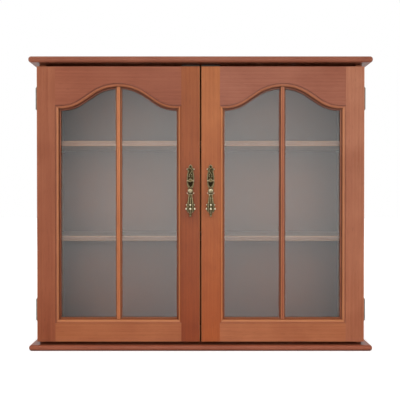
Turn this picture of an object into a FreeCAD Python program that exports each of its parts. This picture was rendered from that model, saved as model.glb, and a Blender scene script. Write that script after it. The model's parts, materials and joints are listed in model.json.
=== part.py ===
import FreeCAD, Part
import math
import os
import re

import Sketcher

# Wall display cabinet: a shallow hanging case with two glazed doors.
# X runs to the right, Y from the front to the wall, Z up, all in millimetres.
# The origin is the middle of the base board's underside.

SIZES = {
    # whole cabinet
    "overall_width": 654.5,
    "overall_height": 560.5,
    "board_depth": 190,
    "board_thick": 11.5,
    "bullnose_radius": 5.2,
    "bullnose_flat": 0.6,
    "corner_radius": 6,
    "side_overhang": 15.25,
    "front_overhang": 6,
    # case
    "side_thick": 12,
    "back_thick": 5,
    "groove_depth": 5,
    "groove_clearance": 0.15,
    "panel_play": 0.5,
    "hanging_rail_thick": 12,
    "hanging_rail_height": 60,
    "wall_screw_spacing": 406.4,
    "wall_screw_drop": 18,
    "wall_screw_radius": 2.75,
    "dowel_radius": 3,
    "dowel_clearance": 0.05,
    "dowel_end_gap": 0.5,
    "board_dowel_bite": 7,
    "side_dowel_bite": 13,
    "case_dowel_pitch": 50,
    "hanging_dowel_bite": 8,
    "hanging_dowel_reach": 20,
    "hanging_dowel_pitch": 30,
    # shelves
    "shelf_thick": 10,
    "shelf_edge_radius": 2,
    "shelf_setback": 16,
    "shelf_back_gap": 2,
    "shelf_end_clearance": 0.4,
    "upper_shelf_top": 403.5,
    "lower_shelf_top": 217,
    "shelf_pin_radius": 2.5,
    "shelf_pin_bite": 8,
    "shelf_pin_reach": 9,
    "shelf_pin_clearance": 0.05,
    "collar_radius": 4,
    "collar_thick": 1.5,
    "shelf_pin_inset": 24,
    # doors
    "door_top_gap": 7.4,
    "door_bottom_gap": 6.1,
    "door_centre_gap": 3,
    "stile_face": 35.2,
    "bottom_rail_face": 35.2,
    "crown_face": 31.3,
    "door_arris": 1.5,
    "quirk_depth": 1.5,
    "quirk_width": 0.8,
    "ovolo_radius": 5.4,
    "ovolo_drop": 1.4,
    "lip_groove_width": 1.4,
    "lip_groove_sink": 1.8,
    "lip_ridge_width": 1.5,
    "lip_thick": 3.2,
    "arch_rise": 42,
    "arch_steepness": 1.8,
    "crown_radius_share": 0.52,
    "muntin_flat": 1,
    "muntin_round": 3.3,
    "muntin_lip": 2.2,
    "muntin_setback": 4,
    "glass_thick": 3,
    "glass_lap": 8,
    "glass_play": 1,
    "bead_thick": 3.5,
    "bead_width": 7,
    "bead_pin_radius": 0.6,
    "bead_pin_length": 14,
    "bead_pin_inset": 60,
    "bead_pin_clearance": 0.05,
    "frame_dowel_reach": 22,
    "bottom_dowel_edge": 12,
    "bottom_dowel_pitch": 17,
    "top_dowel_edge": 8,
    "top_dowel_pitch": 16,
    # hinges
    "hinge_inset": 58,
    "barrel_length": 41.5,
    "knuckle_radius": 3,
    "knuckle_play": 0.3,
    "hinge_axis_offset": 4,
    "hinge_pin_radius": 1.5,
    "running_clearance": 0.05,
    "pin_head_radius": 2.4,
    "pin_head_length": 1.5,
    "leaf_thick": 1.1,
    "leaf_gap": 0.2,
    "leaf_margin": 0.5,
    "leaf_notch_play": 0.4,
    "hinge_screw_spread": 13,
    # wood screws
    "screw_radius": 1.3,
    "screw_head_radius": 2.4,
    "screw_length": 12,
    "screw_clearance": 0.05,
    "screw_slot_width": 0.7,
    "screw_slot_depth": 0.5,
    # magnetic catches
    "strike_drop": 16,
    "strike_width": 22,
    "strike_height": 12,
    "strike_thick": 1.2,
    "catch_gap": 0.3,
    "pole_proud": 1,
    "pole_thick": 1.2,
    "magnet_width": 16,
    "magnet_depth": 9,
    "magnet_height": 4,
    "magnet_clearance": 0.1,
    "catch_wall": 1.8,
    "catch_ear": 7.5,
    "catch_spacing": 4,
    "catch_ear_thick": 3,
    "catch_screw_length": 9,
    # drop pulls
    "pull_height": 324,
    "pull_plate_thick": 1.8,
    "pull_standoff": 12.5,
    "post_radius": 3.4,
    "post_nose": 2.4,
    "post_nose_radius": 2.4,
    "pull_pin_radius": 1.1,
    "fork_clearance": 0.5,
    "fork_wall": 2.6,
    "fork_eye_radius": 2.6,
    "fork_drop": 17,
    "fork_crotch_drop": 12.4,
    "ball_radius": 5.1,
    "ball_drop": 18.8,
    "neck_radius": 3.6,
    "neck_drop": 25,
    "bell_radius": 7.9,
    "bell_drop": 53,
    "bell_band": 2,
    "cup_radius": 4.2,
    "cup_drop": 58.5,
    "tip_radius": 2.2,
    "tip_drop": 68,
    "flare_radius": 6,
    "flare_drop": 45,
    "upper_pearl_radius": 1.6,
    "lower_pearl_radius": 1.9,
    "pearl_seat": 0.5,
    "plate_half_width": 7.3,
    "plate_waist_rise": 6,
    "plate_foot_drop": 12.5,
    "plate_shoulder_half": 4.6,
    "plate_shoulder_rise": 22,
    "plate_neck_half": 1.8,
    "plate_neck_rise": 28,
    "plate_ear_radius": 1.6,
    "plate_ear_half": 5.3,
    "finial_radius": 2.4,
    "finial_rise": 29.2,
    "piercing_radius": 1.5,
    "piercing_half": 3.7,
    "lower_piercing_rise": 9.4,
    "upper_piercing_rise": 17.4,
    "pull_screw_radius": 2,
    "pull_screw_bite": 7,
    "pull_screw_head_radius": 4,
    "pull_screw_head_thick": 2.4,
    "pull_screw_clearance": 0.05,
    "stile_hole_clearance": 0.3,
}

SIDES = {"left": -1, "right": 1}
HINGES = {"upper": "upper_hinge", "lower": "lower_hinge"}
SHELVES = {"upper": "upper_shelf_top", "lower": "lower_shelf_top"}
PEARLS_AROUND = 4
KNUCKLES = 5

# sizes and planes that follow from the driving ones
WORKED_OUT = {
    "case_half": "overall_width / 2 - side_overhang",
    "inner_half": "case_half - side_thick",
    "rear_plane": "board_depth / 2",
    "base_top": "board_thick",
    "top_under": "overall_height - board_thick",
    "panel_rear": "rear_plane - hanging_rail_thick",
    "panel_front": "panel_rear - back_thick",
    "lip_width": "lip_groove_width + lip_ridge_width",
    "stick_width": "quirk_width + ovolo_radius + lip_width",
    "bead_edge": "stick_width - lip_width",
    "lip_ridge_depth": "quirk_depth + ovolo_radius + ovolo_drop",
    "lip_groove_floor": "lip_ridge_depth + lip_groove_sink",
    "glass_setback": "lip_ridge_depth + lip_thick",
    "bead_setback": "glass_setback + glass_thick",
    "door_thick": "bead_setback + bead_thick",
    "door_face": "front_overhang - board_depth / 2",
    "door_back": "door_face + door_thick",
    "hinge_space": "2 * leaf_thick + leaf_gap",
    "side_front": "door_back + hinge_space",
    "door_foot": "base_top + door_bottom_gap",
    "door_head": "top_under - door_top_gap",
    "door_height": "door_head - door_foot",
    "door_inner": "door_centre_gap / 2",
    "door_width": "case_half - door_inner",
    "door_middle": "door_inner + door_width / 2",
    "stile_width": "stile_face + stick_width",
    "bottom_rail_width": "bottom_rail_face + stick_width",
    "crown_drop": "crown_face + stick_width",
    "rail_half": "door_width / 2 - stile_face",
    "lip_half": "door_width / 2 - stile_width",
    "rabbet_half": "lip_half + glass_lap",
    "foot_lip": "door_foot + bottom_rail_width",
    "crown_lip": "door_head - crown_drop",
    "foot_rabbet": "foot_lip - glass_lap",
    "head_rabbet": "crown_lip + glass_lap",
    "arch_angle": "atan(arch_steepness * arch_rise / lip_half)",
    "arch_sin": "sin(arch_angle)",
    "arch_cos": "cos(arch_angle)",
    "arch_radii": "(lip_half * arch_sin - arch_rise * arch_cos) / (1 - arch_cos)",
    "crown_radius": "crown_radius_share * arch_radii",
    "spring_radius": "arch_radii - crown_radius",
    "muntin_half": "muntin_flat / 2 + muntin_round",
    "muntin_reach": "muntin_half + muntin_lip",
    "shelf_half": "inner_half - collar_thick - shelf_end_clearance",
    "shelf_front": "side_front + shelf_setback",
    "shelf_rear": "panel_front - shelf_back_gap",
    "hinge_axis_x": "case_half + hinge_axis_offset",
    "hinge_axis_y": "door_back + hinge_space / 2",
    "knuckle_pitch": f"barrel_length / {KNUCKLES}",
    "lower_hinge": "door_foot + hinge_inset",
    "upper_hinge": "door_head - hinge_inset",
    "hinge_bore": "hinge_pin_radius + running_clearance",
    "hinge_screw_x": "case_half - side_thick / 2",
    "pull_x": "door_inner + stile_face / 2",
    "pull_axis_y": "door_face - pull_standoff",
    "fork_gap": "post_radius + fork_clearance",
    "fork_half": "fork_gap + fork_wall",
    "strike_height_z": "door_head - strike_drop",
    "catch_poles_y": "door_back + strike_thick + catch_gap",
    "catch_front": "catch_poles_y + pole_proud",
    "catch_half": "magnet_width / 2 + magnet_clearance + catch_wall",
    "catch_core": "magnet_height / 2 + pole_thick + magnet_clearance",
    "catch_x": "catch_half + catch_ear + catch_spacing / 2",
    "catch_screw_x": "catch_half + catch_ear / 2",
    "plate_lower_arc": "2 * plate_half_width",
    "plate_upper_arc": "4 * plate_half_width",
    "flare_arc": "2 * (flare_drop - neck_drop)",
}

TOUCH = 1e-4
X_AXIS = FreeCAD.Vector(1, 0, 0)
Y_AXIS = FreeCAD.Vector(0, 1, 0)
TURNS = {
    "x": FreeCAD.Rotation(Y_AXIS, 90),
    "-x": FreeCAD.Rotation(Y_AXIS, -90),
    "y": FreeCAD.Rotation(X_AXIS, -90),
    "-y": FreeCAD.Rotation(X_AXIS, 90),
    "z": FreeCAD.Rotation(),
    "-z": FreeCAD.Rotation(X_AXIS, 180),
}

doc = FreeCAD.newDocument("wall_display_cabinet")
sheet = doc.addObject("Spreadsheet::Sheet", "Sizes")
nodes = []


def fill_sheet():
    """Write the driving sizes, and below them the sizes that follow from them."""
    cells = {alias: str(size) for alias, size in SIZES.items()}
    cells.update({alias: "=" + rule for alias, rule in WORKED_OUT.items()})
    for row, (alias, content) in enumerate(cells.items(), start=1):
        sheet.set(f"A{row}", alias)
        sheet.set(f"B{row}", content)
        sheet.setAlias(f"B{row}", alias)
    doc.recompute()


def tied(rule):
    """Turn a rule in plain size names into one that reads the sheet."""
    return re.sub(r"[a-z_]+", lambda word: known(word.group()), rule)


def known(word):
    return f"Sizes.{word}" if word in SIZES or word in WORKED_OUT else word


def number(rule):
    """Present value of a rule, for a first drawing of a sketch."""
    return float(sheet.evalExpression(rule))


def bind(item, **rules):
    for name, rule in rules.items():
        item.setExpression(name, tied(rule))
    return item


def place(item, x="0", y="0", z="0"):
    for axis, rule in zip("xyz", (x, y, z)):
        item.setExpression(f"Placement.Base.{axis}", tied(rule))
    return item


def across(side, rule):
    """The same distance from the middle plane, on the given side."""
    return rule if side > 0 else f"-({rule})"


def block(x, y, z):
    """A box between two planes each way."""
    item = doc.addObject("Part::Box", "block")
    spans = {"Length": x, "Width": y, "Height": z}
    bind(item, **{name: f"({high}) - ({low})" for name, (low, high) in spans.items()})
    return place(item, x[0], y[0], z[0])


def side_span(side, near, far):
    """Low and high X of a span that runs from near to far of the middle plane."""
    return (near, far) if side > 0 else (f"-({far})", f"-({near})")


def rod(radius, length, start, way):
    """A cylinder from a point, along an axis."""
    item = doc.addObject("Part::Cylinder", "rod")
    item.Placement = FreeCAD.Placement(FreeCAD.Vector(), TURNS[way])
    bind(item, Radius=radius, Height=length)
    return place(item, *start)


def cone(radius_one, radius_two, length, start, way):
    item = doc.addObject("Part::Cone", "cone")
    item.Placement = FreeCAD.Placement(FreeCAD.Vector(), TURNS[way])
    bind(item, Radius1=radius_one, Radius2=radius_two, Height=length)
    return place(item, *start)


def ball(radius, centre):
    item = doc.addObject("Part::Sphere", "ball")
    bind(item, Radius=radius)
    return place(item, *centre)


def group(items):
    item = doc.addObject("Part::Compound", "group")
    item.Links = items
    return item


def fuse(items):
    item = doc.addObject("Part::MultiFuse", "fuse")
    item.Shapes = items
    return item


def cut(base, tools):
    item = doc.addObject("Part::Cut", "cut")
    item.Base = base
    item.Tool = tools[0] if len(tools) == 1 else group(tools)
    return item


def node(label, item):
    """Name a finished piece."""
    item.Label = label
    nodes.append(item)
    return item


def new_body(name):
    return doc.addObject("PartDesign::Body", name)


def arc_between(start, end, radius, turn):
    """Arc from start to end; turn is 1 to the left of the way there, -1 to the right."""
    along = end - start
    half = along.Length / 2
    rise = math.sqrt(max(radius * radius - half * half, 0))
    left = FreeCAD.Vector(-along.y, along.x, 0).normalize()
    centre = (start + end) * 0.5 + left * (rise * turn)
    first, last = (start, end) if turn > 0 else (end, start)
    angles = [math.atan2(point.y - centre.y, point.x - centre.x) for point in (first, last)]
    return Part.ArcOfCircle(Part.Circle(centre, FreeCAD.Vector(0, 0, 1), radius), *angles)


def outline(body, plane, corners, depth=None):
    """Closed sketch; a corner is (x, y), or (x, y, radius, turn) where an arc runs on from it."""
    sketch = body.newObject("Sketcher::SketchObject", "outline")
    planes = {feature.Role: feature for feature in body.Origin.OriginFeatures}
    sketch.AttachmentSupport = [(planes[plane], "")]
    sketch.MapMode = "FlatFace"
    if depth:
        sketch.setExpression("AttachmentOffset.Base.z", tied(depth))
    points = [FreeCAD.Vector(number(corner[0]), number(corner[1]), 0) for corner in corners]
    ends = []
    for index, corner in enumerate(corners):
        start = points[index]
        end = points[(index + 1) % len(points)]
        if len(corner) == 2:
            sketch.addGeometry(Part.LineSegment(start, end))
            ends.append((1, 2))
        else:
            sketch.addGeometry(arc_between(start, end, number(corner[2]), corner[3]))
            ends.append((1, 2) if corner[3] > 0 else (2, 1))
    for index, corner in enumerate(corners):
        follower = (index + 1) % len(corners)
        sketch.addConstraint(
            Sketcher.Constraint("Coincident", index, ends[index][1], follower, ends[follower][0])
        )
        start = ends[index][0]
        across_sheet = Sketcher.Constraint("DistanceX", index, start, points[index].x)
        up_sheet = Sketcher.Constraint("DistanceY", index, start, points[index].y)
        measure(sketch, f"x{index}", across_sheet, corner[0])
        measure(sketch, f"y{index}", up_sheet, corner[1])
        if len(corner) == 4:
            radius = Sketcher.Constraint("Radius", index, number(corner[2]))
            measure(sketch, f"radius{index}", radius, corner[2])
    return sketch


def measure(sketch, name, constraint, rule):
    place_in_list = sketch.addConstraint(constraint)
    sketch.renameConstraint(place_in_list, name)
    sketch.setExpression(f"Constraints.{name}", tied(rule))


def pad(body, sketch, length, backwards=False):
    feature = body.newObject("PartDesign::Pad", "pad")
    feature.Profile = sketch
    feature.Reversed = backwards
    return bind(feature, Length=length)


def round_over(body, base, radius, chosen):
    """Round the edges of the base feature that the test chooses."""
    doc.recompute()
    feature = body.newObject("PartDesign::Fillet", "round")
    edges = enumerate(base.Shape.Edges, start=1)
    feature.Base = (base, [f"Edge{index}" for index, edge in edges if chosen(edge.BoundBox)])
    return bind(feature, Radius=radius)


def level(value, other):
    return abs(value - other) < TOUCH


# case


def board_blank(name):
    """Flat board, round in plan at the two front corners, bullnosed on all but its rear edge."""
    body = new_body(name)
    half = "overall_width / 2"
    front = "-board_depth / 2"
    corners = [
        (f"-{half}", "rear_plane"),
        (f"-{half}", f"{front} + corner_radius", "corner_radius", 1),
        (f"corner_radius - {half}", front),
        (f"{half} - corner_radius", front, "corner_radius", 1),
        (half, f"{front} + corner_radius"),
        (half, "rear_plane"),
    ]
    flat = pad(body, outline(body, "XY_Plane", corners), "board_thick")
    rear = number("rear_plane")
    radius = "min(bullnose_radius; (board_thick - bullnose_flat) / 2)"
    round_over(body, flat, radius, lambda box: level(box.ZLength, 0) and not level(box.YMin, rear))
    return body


def case_dowels(side):
    """Middle X and the Y places of the dowels between a side and a board."""
    x = across(side, "case_half - side_thick / 2")
    middle = "(side_front + panel_front) / 2"
    return [(x, f"{middle} + {step} * case_dowel_pitch") for step in (-1, 0, 1)]


def groove(x, z):
    """Room for an edge of the back panel."""
    return block(x, ("panel_front - groove_clearance", "panel_rear + groove_clearance"), z)


def top_and_base():
    reach = "inner_half + groove_depth"
    boards = (("top_board", "top_under", "top_under", "z"), ("base_board", "0", "base_top", "-z"))
    for label, foot, seat, way in boards:
        blank = place(board_blank(label + "_blank"), z=foot)
        depth = (seat, f"{seat} + groove_depth") if way == "z" else (f"{seat} - groove_depth", seat)
        tools = [groove((f"-({reach})", reach), depth)]
        for side in SIDES.values():
            for x, y in case_dowels(side):
                tools.append(dowel_hole("board_dowel_bite", (x, y, seat), way))
            if label == "top_board":
                tools += [catch_pilot(side, ear) for ear in (-1, 1)]
        node(label, cut(blank, tools))


def dowel_hole(bite, start, way):
    return rod("dowel_radius + dowel_clearance", f"{bite} + dowel_end_gap", start, way)


def hanging_dowel_heights():
    middle = "top_under - hanging_rail_height / 2"
    return [f"{middle} + {step} * hanging_dowel_pitch / 2" for step in (-1, 1)]


def shelf_pin_places(top):
    """Y and Z of the pins at one end of a shelf."""
    height = f"{top} - shelf_thick - shelf_pin_radius"
    return [("shelf_front + shelf_pin_inset", height), ("shelf_rear - shelf_pin_inset", height)]


def hinge_screw_heights(hinge):
    return [f"{hinge} + {step} * hinge_screw_spread" for step in (-1, 1)]


def side_panel(name, side):
    heights = ("base_top", "top_under")
    blank = block(side_span(side, "inner_half", "case_half"), ("side_front", "rear_plane"), heights)
    outward = "x" if side > 0 else "-x"
    inner = across(side, "inner_half")
    tools = [groove(side_span(side, "inner_half", "inner_half + groove_depth"), heights)]
    for x, y in case_dowels(side):
        tools.append(dowel_hole("side_dowel_bite", (x, y, "base_top"), "z"))
        tools.append(dowel_hole("side_dowel_bite", (x, y, "top_under"), "-z"))
    for height in hanging_dowel_heights():
        start = (inner, "rear_plane - hanging_rail_thick / 2", height)
        tools.append(dowel_hole("hanging_dowel_bite", start, outward))
    for top in SHELVES.values():
        for y, z in shelf_pin_places(top):
            hole = "shelf_pin_radius + shelf_pin_clearance"
            tools.append(rod(hole, "shelf_pin_bite + dowel_end_gap", (inner, y, z), outward))
    for hinge in HINGES.values():
        for height in hinge_screw_heights(hinge):
            tools.append(pilot((across(side, "hinge_screw_x"), "side_front", height), "y"))
    node(f"{name}_side_panel", cut(blank, tools))


def back_and_hanging_rail():
    reach = "inner_half + groove_depth - panel_play"
    low = "base_top - groove_depth + panel_play"
    high = "top_under + groove_depth - panel_play"
    panel = block((f"-({reach})", reach), ("panel_front", "panel_rear"), (low, high))
    rail_heights = ("top_under - hanging_rail_height", "top_under")
    rail = block(("-inner_half", "inner_half"), ("panel_rear", "rear_plane"), rail_heights)
    holes = []
    for side in SIDES.values():
        start = (across(side, "wall_screw_spacing / 2"), "panel_front", "top_under - wall_screw_drop")
        holes.append(rod("wall_screw_radius", "rear_plane - panel_front", start, "y"))
    node("back_panel", cut(panel, holes))
    ends = []
    dowels = []
    for side in SIDES.values():
        inward = "-x" if side > 0 else "x"
        for height in hanging_dowel_heights():
            y = "rear_plane - hanging_rail_thick / 2"
            ends.append(dowel_hole("hanging_dowel_reach", (across(side, "inner_half"), y, height), inward))
            start = (across(side, "inner_half + hanging_dowel_bite"), y, height)
            dowels.append(rod("dowel_radius", "hanging_dowel_bite + hanging_dowel_reach", start, inward))
    node("hanging_rail", cut(rail, holes + ends))
    node("hanging_rail_dowels", group(dowels))


def carcass_dowels():
    dowels = []
    for side in SIDES.values():
        for x, y in case_dowels(side):
            length = "board_dowel_bite + side_dowel_bite"
            dowels.append(rod("dowel_radius", length, (x, y, "base_top - board_dowel_bite"), "z"))
            dowels.append(rod("dowel_radius", length, (x, y, "top_under + board_dowel_bite"), "-z"))
    node("carcass_dowels", group(dowels))


def shelf(name, top):
    """Board with its two front edges eased, drawn end on and run between the sides."""
    body = new_body(f"{name}_shelf_board")
    eased = "shelf_edge_radius"
    corners = [
        ("shelf_rear", "0"),
        ("shelf_rear", "shelf_thick"),
        (f"shelf_front + {eased}", "shelf_thick", eased, 1),
        ("shelf_front", f"shelf_thick - {eased}"),
        ("shelf_front", eased, eased, 1),
        (f"shelf_front + {eased}", "0"),
    ]
    pad(body, outline(body, "YZ_Plane", corners), "2 * shelf_half")
    node(f"{name}_shelf", place(body, x="-shelf_half", z=f"{top} - shelf_thick"))


def shelf_pins():
    pins = []
    for top in SHELVES.values():
        for side in SIDES.values():
            inward = "-x" if side > 0 else "x"
            for y, z in shelf_pin_places(top):
                start = (across(side, "inner_half + shelf_pin_bite"), y, z)
                peg = rod("shelf_pin_radius", "shelf_pin_bite + shelf_pin_reach", start, inward)
                collar = rod("collar_radius", "collar_thick", (across(side, "inner_half"), y, z), inward)
                pins.append(fuse([peg, collar]))
    node("shelf_pins", group(pins))


# screws


def pilot(start, way, length="screw_length"):
    return rod("screw_radius + screw_clearance", f"{length} + dowel_end_gap", start, way)


def countersink(start, way, depth):
    """Hole through a thin plate for a flat-headed screw, from its outer face."""
    wide = "screw_head_radius + screw_clearance"
    narrow = "screw_radius + screw_clearance"
    return cone(wide, narrow, depth, start, way)


def wood_screw(start, way, head, length="screw_length"):
    """Flat-headed slotted screw; its head is as deep as the plate that it holds."""
    x, y, z = start
    forward = {"y": 1, "-y": -1, "z": 1}[way]
    shoulder = (x, f"{y} + {forward} * {head}", z) if way != "z" else (x, y, f"{z} + {head}")
    top = cone("screw_head_radius", "screw_radius", head, start, way)
    shank = rod("screw_radius", length, shoulder, way)
    slot = (f"{x} - screw_slot_width / 2", f"{x} + screw_slot_width / 2")
    if way == "z":
        span = (f"{y} - screw_head_radius", f"{y} + screw_head_radius")
        notch = block(slot, span, (z, f"{z} + screw_slot_depth"))
    else:
        floor = f"{y} + {forward} * screw_slot_depth"
        depth = (y, floor) if forward > 0 else (floor, y)
        notch = block(slot, depth, (f"{z} - screw_head_radius", f"{z} + screw_head_radius"))
    return cut(fuse([top, shank]), [notch])


# doors


def stile_blank(name, side, edge, inward):
    """Full-height stile with the moulding and the glass rabbet run along its inner edge."""
    body = new_body(name)

    def x(rule):
        return across(inward, rule)

    corners = [
        (x("door_arris"), "0"),
        (x("stile_face"), "0"),
        (x("stile_face"), "quirk_depth"),
        (x("stile_face + quirk_width"), "quirk_depth", "ovolo_radius", inward),
        (x("stile_face + bead_edge"), "quirk_depth + ovolo_radius"),
        (x("stile_face + bead_edge"), "lip_groove_floor"),
        (x("stile_width - lip_ridge_width"), "lip_groove_floor"),
        (x("stile_width - lip_ridge_width"), "lip_ridge_depth"),
        (x("stile_width"), "lip_ridge_depth"),
        (x("stile_width"), "glass_setback"),
        (x("stile_width - glass_lap"), "glass_setback"),
        (x("stile_width - glass_lap"), "door_thick"),
        ("0", "door_thick"),
        ("0", "door_arris", "door_arris", inward),
    ]
    pad(body, outline(body, "XY_Plane", corners), "door_height")
    return place(body, across(side, edge), "door_face", "door_foot")


def bottom_rail_blank(name, side):
    """Rail with the same moulding and rabbet along its upper edge, still square at its ends.

    The ridge of the lip is shorter: it stops at the stiles' own lips.
    """
    body = new_body(name)
    corners = [
        ("0", "0"),
        ("0", "bottom_rail_face"),
        ("quirk_depth", "bottom_rail_face"),
        ("quirk_depth", "bottom_rail_face + quirk_width", "ovolo_radius", -1),
        ("quirk_depth + ovolo_radius", "bottom_rail_face + bead_edge"),
        ("lip_groove_floor", "bottom_rail_face + bead_edge"),
        ("lip_groove_floor", "bottom_rail_width"),
        ("glass_setback", "bottom_rail_width"),
        ("glass_setback", "bottom_rail_width - glass_lap"),
        ("door_thick", "bottom_rail_width - glass_lap"),
        ("door_thick", "0"),
    ]
    ridge = [
        ("lip_ridge_depth", "bottom_rail_width - lip_ridge_width"),
        ("lip_ridge_depth", "bottom_rail_width"),
        ("lip_groove_floor", "bottom_rail_width"),
        ("lip_groove_floor", "bottom_rail_width - lip_ridge_width"),
    ]
    pad(body, outline(body, "YZ_Plane", corners), "2 * rail_half")
    pad(body, outline(body, "YZ_Plane", ridge, depth="stick_width"), "2 * lip_half")
    return place(body, f"{across(side, 'door_middle')} - rail_half", "door_face", "door_foot")


def arch_curve(margin, way=1):
    """Curve that stays a margin above the arched lip, from one end of the rail to the other."""
    crown = f"({margin} - crown_drop)"
    spring = f"({crown} - arch_rise)"
    spring_arc = f"(spring_radius - {margin})"
    crown_arc = f"(crown_radius + {margin})"
    foot_x = f"(lip_half - {spring_arc} * arch_sin)"
    foot_z = f"({spring} + {spring_arc} * (1 - arch_cos))"
    shoulder_x = f"({crown_arc} * arch_sin)"
    shoulder_z = f"({crown} - {crown_arc} * (1 - arch_cos))"
    return [
        (across(-way, "rail_half"), spring),
        (across(-way, "lip_half"), spring, spring_arc, way),
        (across(-way, foot_x), foot_z),
        (across(-way, shoulder_x), shoulder_z, crown_arc, -way),
        (across(way, shoulder_x), shoulder_z),
        (across(way, foot_x), foot_z, spring_arc, way),
        (across(way, "lip_half"), spring),
        (across(way, "rail_half"), spring),
    ]


def arch_corners(margin):
    """Rail outline, from the top edge down to such a curve."""
    return arch_curve(margin) + [("rail_half", "0"), ("-rail_half", "0")]


def top_rail_blank(name, side):
    """Arched rail, built up from the rabbet at its back to its face, the bead rounded over."""
    body = new_body(name)
    rabbet = "glass_lap - crown_drop"
    square = [("-rail_half", rabbet), ("rail_half", rabbet), ("rail_half", "0"), ("-rail_half", "0")]
    ridge = arch_curve("0")[1:-1] + arch_curve("lip_ridge_width", -1)[1:-1]
    layers = [
        (square, "glass_setback", "door_thick"),
        (arch_corners("0"), "lip_groove_floor", "glass_setback"),
        (ridge, "lip_ridge_depth", "lip_groove_floor"),
        (arch_corners("lip_width"), "quirk_depth", "lip_groove_floor"),
        (arch_corners("stick_width"), "0", "quirk_depth"),
    ]
    for corners, front, rear in layers:
        sketch = outline(body, "XZ_Plane", corners, depth=f"-{front}")
        layer = pad(body, sketch, f"{rear} - {front}", backwards=True)
        if front == "quirk_depth":
            plane = number("quirk_depth")
            round_over(body, layer, "ovolo_radius", lambda box: on_arch(box, plane))
    return place(body, across(side, "door_middle"), "door_face", "door_head")


def on_arch(box, plane):
    """True for the front edges that run along the arch, and not for the top edge or the ends."""
    flat = level(box.YMin, plane) and level(box.YMax, plane)
    return flat and not level(box.XLength, 0) and not level(box.ZMax, 0)


def muntin_blank(name, side):
    """Upright glazing bar, rounded in front, with a thin lip on each side against the glass."""
    body = new_body(name)
    shoulder = "muntin_setback + muntin_round"
    corners = [
        ("-muntin_reach", "glass_setback"),
        ("-muntin_reach", "lip_groove_floor"),
        ("-muntin_half", "lip_groove_floor"),
        ("-muntin_half", shoulder, "muntin_round", 1),
        ("-muntin_flat / 2", "muntin_setback"),
        ("muntin_flat / 2", "muntin_setback", "muntin_round", 1),
        ("muntin_half", shoulder),
        ("muntin_half", "lip_groove_floor"),
        ("muntin_reach", "lip_groove_floor"),
        ("muntin_reach", "glass_setback"),
    ]
    pad(body, outline(body, "XY_Plane", corners), "crown_lip - foot_lip + 2 * lip_width")
    return place(body, across(side, "door_middle"), "door_face", "foot_lip - lip_width")


def frame_dowel_places(side):
    """Start of each frame dowel in its stile, and the way that it runs into the rail."""
    heights = [
        "door_foot + bottom_dowel_edge",
        "door_foot + bottom_dowel_edge + bottom_dowel_pitch",
        "door_head - top_dowel_edge",
        "door_head - top_dowel_edge - top_dowel_pitch",
    ]
    places = []
    for end in (-1, 1):
        x = f"{across(side, 'door_middle')} + {end} * (rail_half + frame_dowel_reach)"
        way = "-x" if end > 0 else "x"
        places += [(x, "door_face + door_thick / 2", height, way) for height in heights]
    return places


def frame_dowel_length():
    return "2 * frame_dowel_reach + stick_width"


def frame_dowel_holes(side):
    holes = []
    for x, y, z, way in frame_dowel_places(side):
        back = "dowel_end_gap" if way == "-x" else "-dowel_end_gap"
        hole = "dowel_radius + dowel_clearance"
        holes.append(rod(hole, f"{frame_dowel_length()} + 2 * dowel_end_gap", (f"{x} + {back}", y, z), way))
    return holes


def bead_pin_places(side):
    """Start of each glazing pin at the inner face of its bead, and the way that it is driven."""
    middle = across(side, "door_middle")
    y = "bead_setback + door_face + bead_thick / 2"
    inner = "rabbet_half - bead_width"
    places = []
    for end, way in ((-1, "-x"), (1, "x")):
        for z in ("foot_rabbet + bead_pin_inset", "head_rabbet - bead_pin_inset"):
            places.append((f"{middle} + {end} * ({inner})", y, z, way))
    for step in (-1, 1):
        x = f"{middle} + {step} * (rabbet_half - bead_pin_inset)"
        places.append((x, y, "foot_rabbet + bead_width", "-z"))
        places.append((x, y, "head_rabbet - bead_width", "z"))
    return places


def bead_pin_holes(side):
    hole = "bead_pin_radius + bead_pin_clearance"
    length = "bead_pin_length + dowel_end_gap"
    return [rod(hole, length, spot[:3], spot[3]) for spot in bead_pin_places(side)]


def glazing(name, side):
    """Pane in its rabbet, and the four strips that hold it from behind."""
    middle = across(side, "door_middle")
    reach = "rabbet_half - glass_play"
    glass = block(
        (f"{middle} - ({reach})", f"{middle} + {reach}"),
        ("door_face + glass_setback", "door_face + bead_setback"),
        ("foot_rabbet + glass_play", "head_rabbet - glass_play"),
    )
    node(f"{name}_glass", glass)
    depth = ("door_face + bead_setback", "door_back")
    strips = []
    uprights = (("-rabbet_half", "bead_width - rabbet_half"), ("rabbet_half - bead_width", "rabbet_half"))
    for low, high in uprights:
        span = (f"{middle} + {low}", f"{middle} + {high}")
        strips.append(block(span, depth, ("foot_rabbet", "head_rabbet")))
    between = (f"{middle} - rabbet_half + bead_width", f"{middle} + rabbet_half - bead_width")
    strips.append(block(between, depth, ("foot_rabbet", "foot_rabbet + bead_width")))
    strips.append(block(between, depth, ("head_rabbet - bead_width", "head_rabbet")))
    holes = bead_pin_holes(side)
    node(f"{name}_glazing_beads", group([cut(strip, holes) for strip in strips]))
    pins = [rod("bead_pin_radius", "bead_pin_length", spot[:3], spot[3]) for spot in bead_pin_places(side)]
    node(f"{name}_bead_pins", group(pins))


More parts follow.
